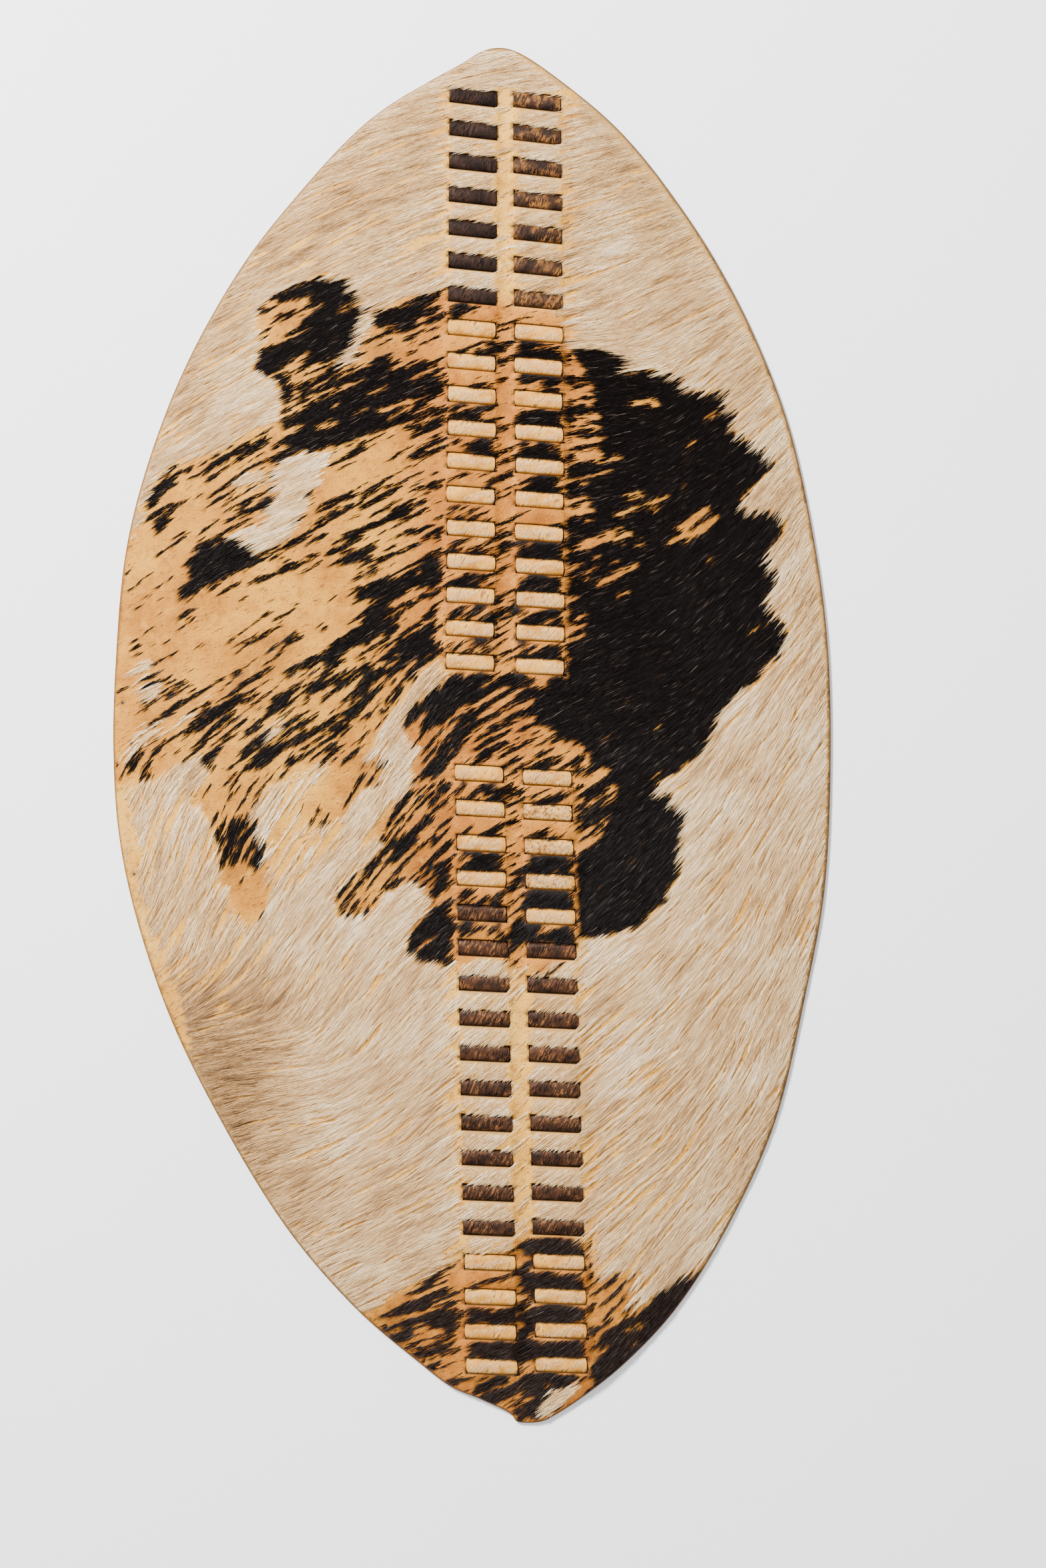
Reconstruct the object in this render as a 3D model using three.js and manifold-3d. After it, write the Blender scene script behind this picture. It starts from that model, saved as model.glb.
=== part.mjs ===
// Cowhide shield, hair side up, lying on the rim of its body. Millimetres, +Z up, +Y towards the
// upper tip. The origin is on the ground under the middle of the outline.
//
// The body is one stiff panel of rawhide. Two columns of level slits run down its middle, in an
// upper and a lower panel, and four hide strips are threaded through each column. Between slits
// the hide makes bands: a strip passes in front of a low band, which is a window, and behind
// the high band between two windows.

import * as THREE from 'three';
import { mergeVertices } from 'three/addons/utils/BufferGeometryUtils.js';
import Module from 'manifold-3d';

// Outer size of the body, and the thickness of its hide and of the strips.
const LENGTH = 1050;
const WIDTH = 548;
const HIDE_THICKNESS = 3;
const STRIP_THICKNESS = 1.8;
const CLEARANCE = 0.3;

// The body is domed a little: flat across its ridge, and falling from there to a level rim.
const CROWN_RISE = 16;
const CROWN_FULLNESS = 3.5;
const RIDGE_HALF_WIDTH = 57;
const RIDGE_MOST_OF_REACH = 0.8;

// Windows: how many in each column of a panel, their height, and how the slits lie.
const WINDOWS_IN_COLUMN = 18;
const WINDOW_HEIGHT = 12.7;
const HEAD_MARGIN = 12.5;
const FOOT_MARGIN = 15.8;
const FIELD_HEIGHT = 72;
const FIELD_CENTRE = 13.2;
const RIGHT_COLUMN_DROP = 3.3;
const BAND_SIDE_RAMP = 1.6;
const RAMP_AT_TIPS = 7;
const RAMP_AT_FIELD = 12;
const TAIL_AT_TIPS = 5.5;
const STRIP_ANGLE = THREE.MathUtils.degToRad(60);
const HIGH_BAND_SHARE = 0.52;
const JOIN_GAP = 1;

// Each panel from its head to its foot: the middle line as a share of half the width, the slits'
// width, the hide left between the two columns, and how far a slit falls to the right per unit.
const UPPER_PANEL = {
  middle: [0.093, 0.093],
  slitWidth: [36.3, 36.6],
  spine: [12.1, 16.9],
  fall: [0.12, 0.055],
};
const LOWER_PANEL = {
  middle: [0.115, 0.153],
  slitWidth: [36.8, 39.4],
  spine: [14.7, 13.9],
  fall: [0.057, 0.035],
};

// Windows that each strip shows in, counted from the top of the shield to its foot, by column.
const STRIPS = {
  left: { top_dark: 7, middle_white: 15, lower_brown: 10, foot_white: 4 },
  right: { top_dark: 7, middle_white: 16, lower_brown: 9, foot_white: 4 },
};

// Peg holes from stretching the wet hide: the height as a share of half the length, and how far
// in from the rim on that side. The last one is beside the lower tip, measured upwards.
const PEG_HOLE_DIAMETER = 2.4;
const PEG_HOLES = [
  { side: -1, height: 0.047, inset: 6.8 },
  { side: -1, height: -0.011, inset: 13.6 },
  { side: -1, height: -0.202, inset: 6.6 },
  { side: 1, height: -0.012, inset: 8.8 },
];
const FOOT_PEG_HOLE = { across: 0.168, inset: 7.3 };

const COLOURS = {
  hide: 0xcbb89c,
  top_dark: 0x4a332b,
  middle_white: 0xd8c8a6,
  lower_brown: 0x5a3828,
  foot_white: 0xc9b592,
};

// The cut outline, clockwise from the upper tip, as shares of half the width and half the length.
const OUTLINE = [
  [0.073, 1], [0.111, 0.997], [0.155, 0.986], [0.243, 0.954], [0.366, 0.902], [0.449, 0.858],
  [0.542, 0.797], [0.673, 0.695], [0.793, 0.574], [0.887, 0.443], [0.954, 0.283], [0.991, 0.138],
  [1, -0.037], [0.983, -0.225], [0.93, -0.378], [0.846, -0.561], [0.712, -0.716],
  [0.572, -0.832], [0.434, -0.91], [0.319, -0.959], [0.225, -0.991], [0.196, -0.998],
  [0.15, -1], [0.122, -0.997], [0.112, -0.989], [0.029, -0.967], [-0.057, -0.948],
  [-0.153, -0.91], [-0.327, -0.832], [-0.518, -0.716], [-0.7, -0.561], [-0.846, -0.405],
  [-0.944, -0.25], [-0.987, -0.134], [-1, -0.015], [-0.994, 0.1], [-0.969, 0.254],
  [-0.918, 0.371], [-0.808, 0.526], [-0.643, 0.681], [-0.468, 0.797], [-0.327, 0.876],
  [-0.237, 0.914], [-0.126, 0.949], [-0.029, 0.977], [0.029, 0.995],
];
const OUTLINE_STEPS = 2;

const halfLength = LENGTH / 2;
const halfWidth = WIDTH / 2;
const middleOfBodyWall = HIDE_THICKNESS / 2;
const fullLift = (HIDE_THICKNESS + STRIP_THICKNESS) / 2 + CLEARANCE;
const bandLift = HIGH_BAND_SHARE * fullLift;
const stripLift = fullLift - bandLift;
const stripRun = 2 * stripLift / Math.tan(STRIP_ANGLE);
const slotGap = 2 * (STRIP_THICKNESS / 2 + CLEARANCE
  + (HIDE_THICKNESS / 2 - bandLift) * Math.cos(STRIP_ANGLE)) / Math.sin(STRIP_ANGLE);

const lerp = THREE.MathUtils.lerp;
const clamp = THREE.MathUtils.clamp;

// Outline as points, stretched so that it fills the length and width exactly.
function outlinePoints() {
  const control = OUTLINE.map(([x, y]) => new THREE.Vector3(x, y, 0));
  const curve = new THREE.CatmullRomCurve3(control, true, 'centripetal');
  const count = OUTLINE.length * OUTLINE_STEPS;
  const points = Array.from({ length: count }, (_, i) => curve.getPoint(i / count));
  const box = new THREE.Box3().setFromPoints(points);
  const size = box.getSize(new THREE.Vector3());
  return points.map((p) => ({
    x: ((p.x - box.min.x) / size.x * 2 - 1) * halfWidth,
    y: ((p.y - box.min.y) / size.y * 2 - 1) * halfLength,
  }));
}

const outline = outlinePoints();
const upperTip = outline.reduce((a, b) => (b.y > a.y ? b : a));
const lowerTip = outline.reduce((a, b) => (b.y < a.y ? b : a));

// Where the outline crosses a level (axis 'y') or an upright (axis 'x') line, as the other value.
function crossings(axis, value) {
  const other = axis === 'y' ? 'x' : 'y';
  const found = [];
  outline.forEach((a, i) => {
    const b = outline[(i + 1) % outline.length];
    if ((a[axis] - value) * (b[axis] - value) <= 0 && a[axis] !== b[axis]) {
      found.push(lerp(a[other], b[other], (value - a[axis]) / (b[axis] - a[axis])));
    }
  });
  return found;
}

function rimX(y, side) {
  const found = crossings('y', clamp(y, lowerTip.y, upperTip.y));
  return side < 0 ? Math.min(...found) : Math.max(...found);
}

function rimY(x, end) {
  const found = crossings('x', x);
  return end < 0 ? Math.min(...found) : Math.max(...found);
}

// Height of the dome over the rim, for the middle of the hide's thickness.
function crown(x, y) {
  const spine = lerp(lowerTip.x, upperTip.x, (y - lowerTip.y) / (upperTip.y - lowerTip.y));
  const reach = Math.abs(rimX(y, Math.sign(x - spine) || 1) - spine);
  const ridge = Math.min(RIDGE_HALF_WIDTH, RIDGE_MOST_OF_REACH * reach);
  const out = clamp((Math.abs(x - spine) - ridge) / Math.max(reach - ridge, CLEARANCE), 0, 1);
  const along = 1 - Math.min(Math.abs(y / halfLength), 1) ** CROWN_FULLNESS;
  return CROWN_RISE * along * (1 - out * out);
}

// One column of one panel. Its own axes are across, from the middle of the slit to the right, and
// down the panel by height; at() turns them into the shield's x and y.
function column(panel, side, head, foot) {
  const share = (height) => clamp((head - height) / (head - foot), 0, 1);
  const from = (range, height) => lerp(range[0], range[1], share(height));
  const slitWidth = (height) => from(panel.slitWidth, height);
  const middle = (height) => from(panel.middle, height) * halfWidth
    + side * (from(panel.spine, height) + slitWidth(height)) / 2;
  const at = (across, height) => ({
    x: middle(height) + across,
    y: height - from(panel.fall, height) * across,
  });
  const pitch = (head - foot - WINDOW_HEIGHT) / (WINDOWS_IN_COLUMN - 1);
  const windows = Array.from({ length: WINDOWS_IN_COLUMN }, (_, k) => {
    const top = head - k * pitch;
    return { top, bottom: top - WINDOW_HEIGHT };
  });
  return { slitWidth, at, windows, head, foot };
}

// The first slit of a column starts a margin inside the rim, measured at its outer corner.
function endOfColumn(panel, side, end, margin) {
  const i = end > 0 ? 0 : 1;
  const outer = panel.middle[i] * halfWidth + side * (panel.spine[i] / 2 + panel.slitWidth[i]);
  return rimY(outer, end) - end * margin + side * panel.fall[i] * panel.slitWidth[i] / 2;
}

function bothPanels(side) {
  const fieldMiddle = FIELD_CENTRE - (side > 0 ? RIGHT_COLUMN_DROP : 0);
  const upperHead = endOfColumn(UPPER_PANEL, side, 1, HEAD_MARGIN);
  const lowerFoot = endOfColumn(LOWER_PANEL, side, -1, FOOT_MARGIN);
  return [
    column(UPPER_PANEL, side, upperHead, fieldMiddle + FIELD_HEIGHT / 2),
    column(LOWER_PANEL, side, fieldMiddle - FIELD_HEIGHT / 2, lowerFoot),
  ];
}

const columns = { left: bothPanels(-1), right: bothPanels(1) };

// A sheet of hide as flat triangles over the plan, which thicken() turns into a closed solid: a
// front, a back, and a wall along every edge that only one triangle has.
class Sheet {
  constructor() {
    this.points = [];
    this.faces = [];
  }

  add(x, y, z) {
    this.points.push({ x, y, z });
    return this.points.length - 1;
  }

  // Twice the area of a triangle over the plan, below 0 if its corners run clockwise.
  turn(a, b, c) {
    const [p, q, r] = [this.points[a], this.points[b], this.points[c]];
    return (q.x - p.x) * (r.y - p.y) - (q.y - p.y) * (r.x - p.x);
  }

  face(a, b, c) {
    this.faces.push(this.turn(a, b, c) > 0 ? [a, b, c] : [a, c, b]);
  }

  gap(a, b) {
    return Math.hypot(this.points[a].x - this.points[b].x, this.points[a].y - this.points[b].y);
  }

  // Fills the space between two rows of points that run the same way. Of all the ways to zip them
  // together, it takes the one with the shortest new edges whose triangles don't fold back.
  fill(one, two) {
    const around = [...one, ...[...two].reverse()];
    const turns = around.map((b, i) => this.turn(around[0], around.at(i - 1), b));
    const way = Math.sign(turns.reduce((sum, turn) => sum + turn, 0));
    const best = one.map(() => two.map(() => ({ total: Infinity })));
    best[0][0].total = 0;
    const reach = (i, j, from, face) => {
      const folded = this.turn(...face) * way > 0 ? 0 : 2 * LENGTH;
      const total = from.total + this.gap(one[i], two[j]) + folded;
      if (total < best[i][j].total) best[i][j] = { total, from, face };
    };
    one.forEach((a, i) => two.forEach((b, j) => {
      if (i > 0) reach(i, j, best[i - 1][j], [one[i - 1], a, b]);
      if (j > 0) reach(i, j, best[i][j - 1], [a, b, two[j - 1]]);
    }));
    for (let step = best.at(-1).at(-1); step.from; step = step.from) this.face(...step.face);
  }

  thicken(thickness) {
    const count = this.points.length;
    const position = [1, -1].flatMap((way) => this.points
      .flatMap((p) => [p.x, p.y, p.z + way * thickness / 2]));
    const index = this.faces.flatMap(([a, b, c]) => [a, b, c, c + count, b + count, a + count]);
    const edgesOf = ([a, b, c]) => [`${a},${b}`, `${b},${c}`, `${c},${a}`];
    const edges = new Set(this.faces.flatMap(edgesOf));
    edges.forEach((edge) => {
      const [a, b] = edge.split(',').map(Number);
      if (!edges.has(`${b},${a}`)) index.push(a, a + count, b, b, a + count, b + count);
    });
    const geometry = new THREE.BufferGeometry();
    geometry.setAttribute('position', new THREE.Float32BufferAttribute(position, 3));
    geometry.setIndex(index);
    return geometry;
  }
}

// Heights of the rows of points down a column, with the lift of the hide at each. Bands lie
// between rows 0 and 1, 2 and 3 and so on, and slits between the others.
function bandRows({ windows, head, foot }, rampAtHead, rampAtFoot) {
  const rows = [{ height: head + rampAtHead, lift: 0 }];
  windows.forEach(({ top, bottom }) => {
    rows.push({ height: top, lift: bandLift });
    rows.push({ height: top - slotGap, lift: -bandLift });
    rows.push({ height: bottom + slotGap, lift: -bandLift });
    rows.push({ height: bottom, lift: bandLift });
  });
  rows.push({ height: foot - rampAtFoot, lift: 0 });
  return rows;
}

// Adds a column's bands to the sheet, and returns its rows of point numbers, left to right.
function addBands(sheet, panelColumn, rampAtHead, rampAtFoot) {
  const rows = bandRows(panelColumn, rampAtHead, rampAtFoot).map(({ height, lift }) => {
    const half = panelColumn.slitWidth(height) / 2;
    return [-half, BAND_SIDE_RAMP - half, half - BAND_SIDE_RAMP, half].map((across, i) => {
      const { x, y } = panelColumn.at(across, height);
      const raised = i === 1 || i === 2 ? lift : 0;
      return sheet.add(x, y, middleOfBodyWall + crown(x, y) + raised);
    });
  });
  for (let i = 0; i < rows.length; i += 2) sheet.fill(rows[i], rows[i + 1]);
  return rows;
}

// The nearest point of a closed line, and its place along it, counted in the line's own points.
function nearestOn(loop, p) {
  const line = new THREE.Line3();
  const near = new THREE.Vector3();
  let best = null;
  loop.forEach((a, i) => {
    const b = loop[(i + 1) % loop.length];
    line.set(new THREE.Vector3(a.x, a.y, 0), new THREE.Vector3(b.x, b.y, 0));
    const share = line.closestPointToPointParameter(new THREE.Vector3(p.x, p.y, 0), true);
    line.at(share, near);
    const distance = Math.hypot(near.x - p.x, near.y - p.y);
    if (!best || distance < best.distance) best = { x: near.x, y: near.y, distance, place: i + share };
  });
  return best;
}

// The wings: rings of points between the woven middle and the outline. Spokes run from each outline
// point to the nearest of the middle, and from each corner of the middle to the nearest of the
// outline, so that no ring cuts a corner off.
function addWings(sheet, core, corners) {
  const corePoints = core.map((i) => sheet.points[i]);
  const spokes = outline.map((p, place) => ({ rim: p, near: nearestOn(corePoints, p), place }));
  corners.map((i) => sheet.points[i]).forEach((near) => {
    const rim = nearestOn(outline, near);
    spokes.push({ rim, near, place: rim.place });
  });
  spokes.sort((a, b) => a.place - b.place);
  const ringAt = (share) => spokes.map(({ rim, near }) => {
    const [x, y] = [lerp(near.x, rim.x, share), lerp(near.y, rim.y, share)];
    return sheet.add(x, y, middleOfBodyWall + (share < 1 ? crown(x, y) : 0));
  });
  const rings = [1 / 3, 2 / 3, 1].map(ringAt);
  const gaps = core.map((i) => sheet.gap(i, rings[0][0]));
  const start = gaps.indexOf(Math.min(...gaps));
  const turned = [...core.slice(start), ...core.slice(0, start)];
  [turned, ...rings].reduce((inner, outer) => {
    sheet.fill([...inner, inner[0]], [...outer, outer[0]]);
    return outer;
  });
}

function bodySheet() {
  const sheet = new Sheet();
  const [upperLeft, lowerLeft] = columns.left;
  const [upperRight, lowerRight] = columns.right;
  const upper = [upperLeft, upperRight].map((c) => addBands(sheet, c, RAMP_AT_TIPS, RAMP_AT_FIELD));
  const lower = [lowerLeft, lowerRight].map((c) => addBands(sheet, c, RAMP_AT_FIELD, RAMP_AT_TIPS));
  const edge = (rows, end) => rows.map((row) => row.at(end));
  [upper, lower].forEach(([left, right]) => sheet.fill(edge(left, -1), edge(right, 0)));
  const across = ([left, right], row) => [...left.at(row), ...right.at(row)];
  sheet.fill(across(upper, -1), across(lower, 0));
  const down = [...edge(upper[1], -1), ...edge(lower[1], -1)];
  const up = [...edge(upper[0], 0), ...edge(lower[0], 0)].reverse();
  const inner = (row) => row.slice(1, -1);
  const core = [...inner(across(upper, 0)), ...down, ...inner(across(lower, -1)).reverse(), ...up];
  addWings(sheet, core, [down[0], down.at(-1), up[0], up.at(-1)]);
  return sheet;
}

const wasm = await Module();
wasm.setup();

function asManifold(geometry) {
  const plain = geometry.clone();
  plain.deleteAttribute('normal');
  plain.deleteAttribute('uv');
  const merged = mergeVertices(plain);
  return new wasm.Manifold(new wasm.Mesh({
    numProp: 3,
    vertProperties: new Float32Array(merged.attributes.position.array),
    triVerts: new Uint32Array(merged.index.array),
  }));
}

function fromManifold(solid) {
  const mesh = solid.getMesh();
  const geometry = new THREE.BufferGeometry();
  geometry.setAttribute('position', new THREE.Float32BufferAttribute(mesh.vertProperties, 3));
  geometry.setIndex(Array.from(mesh.triVerts));
  return geometry;
}

function pegHole(x, y) {
  const depth = CROWN_RISE + 4 * HIDE_THICKNESS;
  const peg = new THREE.CylinderGeometry(PEG_HOLE_DIAMETER / 2, PEG_HOLE_DIAMETER / 2, depth, 6);
  peg.rotateX(Math.PI / 2);
  peg.translate(x, y, depth / 2 - HIDE_THICKNESS);
  return asManifold(peg);
}

function bodyGeometry() {
  const holes = PEG_HOLES.map(({ side, height, inset }) => {
    const y = height * halfLength;
    return pegHole(rimX(y, side) - side * inset, y);
  });
  const footX = FOOT_PEG_HOLE.across * halfWidth;
  holes.push(pegHole(footX, rimY(footX, -1) + FOOT_PEG_HOLE.inset));
  const body = asManifold(bodySheet().thicken(HIDE_THICKNESS));
  return fromManifold(holes.reduce((rest, hole) => rest.subtract(hole), body));
}

// A column's stations for its strips, from the upper tip to the foot. Each has the height and lift
// of the strip's middle, and the number of the window that it belongs to or follows.
function stripStations(columnPair) {
  const stations = [];
  const behind = -stripLift;
  const add = (panelColumn, height, lift, window) => {
    stations.push({ panelColumn, height, lift, window });
  };
  const tailLift = (1 - TAIL_AT_TIPS / RAMP_AT_TIPS) * bandLift - fullLift;
  const [upper, lower] = columnPair;
  add(upper, upper.head + TAIL_AT_TIPS, tailLift, 0);
  columnPair.forEach((panelColumn, p) => {
    panelColumn.windows.forEach(({ top, bottom }, k) => {
      const window = p * WINDOWS_IN_COLUMN + k;
      const [first, last] = [top - slotGap / 2, bottom + slotGap / 2];
      add(panelColumn, first + stripRun / 2, behind, window);
      add(panelColumn, first - stripRun / 2, stripLift, window);
      add(panelColumn, last + stripRun / 2, stripLift, window);
      add(panelColumn, last - stripRun / 2, behind, window);
    });
    if (p === 0) {
      add(upper, upper.foot - RAMP_AT_FIELD, -fullLift, WINDOWS_IN_COLUMN - 1);
      add(lower, lower.head + RAMP_AT_FIELD, -fullLift, WINDOWS_IN_COLUMN);
    }
  });
  add(lower, lower.foot - TAIL_AT_TIPS, tailLift, 2 * WINDOWS_IN_COLUMN - 1);
  return stations;
}

// A strip is cut off behind the band between its last window and the next strip's first one.
function cutStation(stations, window, side) {
  const above = stations.findLast((s) => s.window === window - 1);
  const below = stations.find((s) => s.window === window);
  const height = (above.height + below.height) / 2 + side * JOIN_GAP / 2;
  return { ...(side > 0 ? above : below), height };
}

// A rectangular section along the stations, mitred at each bend.
function stripGeometry(stations) {
  const position = [];
  stations.forEach(({ panelColumn, height, lift }, i) => {
    const before = stations[Math.max(i - 1, 0)];
    const after = stations[Math.min(i + 1, stations.length - 1)];
    const turn = (a, b) => Math.atan2(b.lift - a.lift, a.height - b.height);
    const here = { height, lift };
    const into = before === stations[i] ? turn(here, after) : turn(before, here);
    const out = after === stations[i] ? turn(before, here) : turn(here, after);
    const mitre = (into + out) / 2;
    const reach = STRIP_THICKNESS / 2 / Math.cos((out - into) / 2);
    const half = panelColumn.slitWidth(height) / 2 - BAND_SIDE_RAMP - CLEARANCE;
    [[-half, 1], [half, 1], [half, -1], [-half, -1]].forEach(([across, face]) => {
      const { x, y } = panelColumn.at(across, height);
      const up = face * reach;
      position.push(
        x,
        y + up * Math.sin(mitre),
        middleOfBodyWall + crown(x, y) + lift + up * Math.cos(mitre),
      );
    });
  });
  const index = [0, 2, 1, 0, 3, 2];
  const last = 4 * (stations.length - 1);
  index.push(last, last + 1, last + 2, last, last + 2, last + 3);
  for (let i = 0; i < last; i += 4) {
    for (let side = 0; side < 4; side += 1) {
      const [a, b] = [i + side, i + (side + 1) % 4];
      index.push(a, b, a + 4, b, b + 4, a + 4);
    }
  }
  const geometry = new THREE.BufferGeometry();
  geometry.setAttribute('position', new THREE.Float32BufferAttribute(position, 3));
  geometry.setIndex(index.reverse());
  return geometry;
}

function piece(name, geometry, color, roughness) {
  const flat = geometry.toNonIndexed();
  flat.computeVertexNormals();
  const material = new THREE.MeshStandardMaterial({ color, roughness, metalness: 0 });
  const mesh = new THREE.Mesh(flat, material);
  mesh.name = name;
  return mesh;
}

const shield = new THREE.Group();
shield.add(piece('hide_panel', bodyGeometry(), COLOURS.hide, 0.85));

Object.entries(STRIPS).forEach(([side, strips]) => {
  const stations = stripStations(columns[side]);
  let window = 0;
  Object.entries(strips).forEach(([part, count], i, all) => {
    const own = stations.filter((s) => s.window >= window && s.window < window + count);
    if (i > 0) own.unshift(cutStation(stations, window, -1));
    if (i < all.length - 1) own.push(cutStation(stations, window + count, 1));
    shield.add(piece(`strip_${side}_${part}`, stripGeometry(own), COLOURS[part], 0.8));
    window += count;
  });
});

export default shield;
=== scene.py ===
import math

import bpy
import numpy as np
from mathutils.geometry import delaunay_2d_cdt
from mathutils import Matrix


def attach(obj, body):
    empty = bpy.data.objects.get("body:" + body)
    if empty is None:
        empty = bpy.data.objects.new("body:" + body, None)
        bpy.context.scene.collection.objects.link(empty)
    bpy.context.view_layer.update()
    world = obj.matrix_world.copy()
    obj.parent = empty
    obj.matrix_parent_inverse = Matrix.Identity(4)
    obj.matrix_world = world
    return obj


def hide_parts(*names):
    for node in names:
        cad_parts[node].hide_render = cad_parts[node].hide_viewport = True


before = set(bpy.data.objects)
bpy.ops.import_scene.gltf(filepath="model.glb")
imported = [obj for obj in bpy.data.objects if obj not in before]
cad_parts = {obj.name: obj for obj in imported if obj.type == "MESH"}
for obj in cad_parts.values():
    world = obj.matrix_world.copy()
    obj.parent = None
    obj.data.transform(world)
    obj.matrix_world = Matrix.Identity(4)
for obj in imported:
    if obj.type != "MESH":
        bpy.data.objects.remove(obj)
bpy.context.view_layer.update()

# Studio. The shield lies on a pale floor with its hair side up, and the camera looks straight down
# on it, as square on as the photograph does. A broad soft light stands at the upper left, and a
# weak even light from all round keeps the shadows open.
MM = 0.001
PHOTO_SIZE = (1568, 2350)
MM_PER_PIXEL = 0.5098
BODY_MIDDLE_PIXEL = (707.5, 1102.0)
CAMERA_HEIGHT = 4.0
SENSOR_LONG_SIDE = 36.0
FLOOR_HALF = 6.0
FLOOR_PAPER = "#fcfcfe"
FLOOR_PAPER_SHADE = "#f6f7fa"
KEY_LIGHT_AT = (-1.9, 2.1, 2.3)
KEY_LIGHT_SIDE = 0.7
KEY_LIGHT_WATTS = 500.0
ROOM_LIGHT = 1.12
ROOM_LIGHT_COLOUR = "#f6f7fa"


def from_photo(*pixels):
    """Points of the photograph as x and y on the shield, in millimetres."""
    across, down = np.array(pixels, float).T
    x = (across - BODY_MIDDLE_PIXEL[0]) * MM_PER_PIXEL
    y = (BODY_MIDDLE_PIXEL[1] - down) * MM_PER_PIXEL
    return np.column_stack([x, y])


def linear(code):
    """An sRGB hex colour as linear red, green and blue, and alpha 1."""
    parts = [int(code[i:i + 2], 16) / 255 for i in (1, 3, 5)]
    return [p / 12.92 if p <= 0.04045 else ((p + 0.055) / 1.055) ** 2.4 for p in parts] + [1.0]


def add_node(tree, kind, links=None, **settings):
    """Adds a node. The links give each input a value, or the output of another node."""
    node = tree.nodes.new(kind)
    for name, value in settings.items():
        setattr(node, name, value)
    for name, source in (links or {}).items():
        if isinstance(source, bpy.types.NodeSocket):
            tree.links.new(source, node.inputs[name])
        else:
            node.inputs[name].default_value = source
    return node


def new_material(name):
    """An empty material and its node tree."""
    material = bpy.data.materials.new(name)
    material.use_nodes = True
    material.node_tree.nodes.clear()
    return material, material.node_tree


def closed_mesh(name, points, triangles, material):
    """An object from points in millimetres and triangles that face outwards."""
    mesh = bpy.data.meshes.new(name)
    mesh.vertices.add(len(points))
    mesh.vertices.foreach_set("co", np.ravel(points * MM))
    mesh.loops.add(3 * len(triangles))
    mesh.loops.foreach_set("vertex_index", np.ravel(triangles).astype(np.int32))
    mesh.polygons.add(len(triangles))
    mesh.polygons.foreach_set("loop_start", np.arange(0, 3 * len(triangles), 3, dtype=np.int32))
    mesh.polygons.foreach_set("use_smooth", np.ones(len(triangles), bool))
    mesh.update(calc_edges=True)
    mesh.materials.append(material)
    made = bpy.data.objects.new(name, mesh)
    bpy.context.scene.collection.objects.link(made)
    return made


# Matte paper: faint shades a third of a metre across and no gloss, so that the floor looks even.
paper, tree = new_material("matte_backdrop_paper")
place = add_node(tree, "ShaderNodeTexCoord").outputs["Object"]
fibre = add_node(tree, "ShaderNodeTexNoise", {"Vector": place, "Scale": 3.0, "Detail": 2.0})
shade = add_node(tree, "ShaderNodeMix", {
    0: fibre.outputs[0], 6: linear(FLOOR_PAPER), 7: linear(FLOOR_PAPER_SHADE)}, data_type="RGBA")
sheet = add_node(tree, "ShaderNodeBsdfPrincipled", {
    "Base Color": shade.outputs[2], "Roughness": 0.9})
add_node(tree, "ShaderNodeOutputMaterial", {"Surface": sheet.outputs[0]})

corners = np.array([[-1, -1, 0], [1, -1, 0], [1, 1, 0], [-1, 1, 0]], float) * FLOOR_HALF / MM
floor = closed_mesh("floor", corners, np.array([[0, 1, 2], [0, 2, 3]]), paper)

camera_data = bpy.data.cameras.new("camera")
camera = bpy.data.objects.new("camera", camera_data)
bpy.context.scene.collection.objects.link(camera)
view_middle = from_photo((PHOTO_SIZE[0] / 2, PHOTO_SIZE[1] / 2))[0] * MM
camera.location = (view_middle[0], view_middle[1], CAMERA_HEIGHT)
camera_data.sensor_width = SENSOR_LONG_SIDE
camera_data.lens = SENSOR_LONG_SIDE * CAMERA_HEIGHT / (PHOTO_SIZE[1] * MM_PER_PIXEL * MM)
bpy.context.scene.camera = camera

key_data = bpy.data.lights.new("key_light", "AREA")
key_data.energy = KEY_LIGHT_WATTS
key_data.size = KEY_LIGHT_SIDE
key = bpy.data.objects.new("key_light", key_data)
bpy.context.scene.collection.objects.link(key)
key.location = KEY_LIGHT_AT
away = np.array(KEY_LIGHT_AT) - [view_middle[0], view_middle[1], 0.0]
key.rotation_euler = (math.atan2(math.hypot(away[0], away[1]), away[2]), 0.0,
                      math.atan2(away[1], away[0]) + math.pi / 2)
world = bpy.data.worlds.new("even_room_light")
world.use_nodes = True
world.node_tree.nodes["Background"].inputs["Color"].default_value = linear(ROOM_LIGHT_COLOUR)
world.node_tree.nodes["Background"].inputs["Strength"].default_value = ROOM_LIGHT
bpy.context.scene.world = world

# Shape of the hide panel: one stiff cowhide, cut to a pointed oval and dried with a low dome in it.
# Two columns of level slits run down its middle in an upper and a lower panel. Between the two
# slits of a window the hide is a low band, and between two windows it is a high, bulging one.
LENGTH = 1050.0
WIDTH = 548.0
HIDE = 3.0
STRIP = 1.8
CLEARANCE = 0.3
CROWN_RISE = 16.0
CROWN_FULLNESS = 3.5
RIDGE_HALF_WIDTH = 57.0
RIDGE_MOST_OF_REACH = 0.8
WINDOWS = 18
WINDOW_HEIGHT = 12.7
HEAD_MARGIN = 12.5
FOOT_MARGIN = 15.8
FIELD_HEIGHT = 72.0
FIELD_CENTRE = 13.2
RIGHT_COLUMN_DROP = 3.3
SIDE_RAMP = 1.6
RAMP_AT_TIPS = 7.0
RAMP_AT_FIELD = 12.0
STRIP_ANGLE = math.radians(60)
HIGH_BAND_SHARE = 0.52
BAND_BULGE = 0.8
BAND_BLENDS_OUT = 5.0
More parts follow.
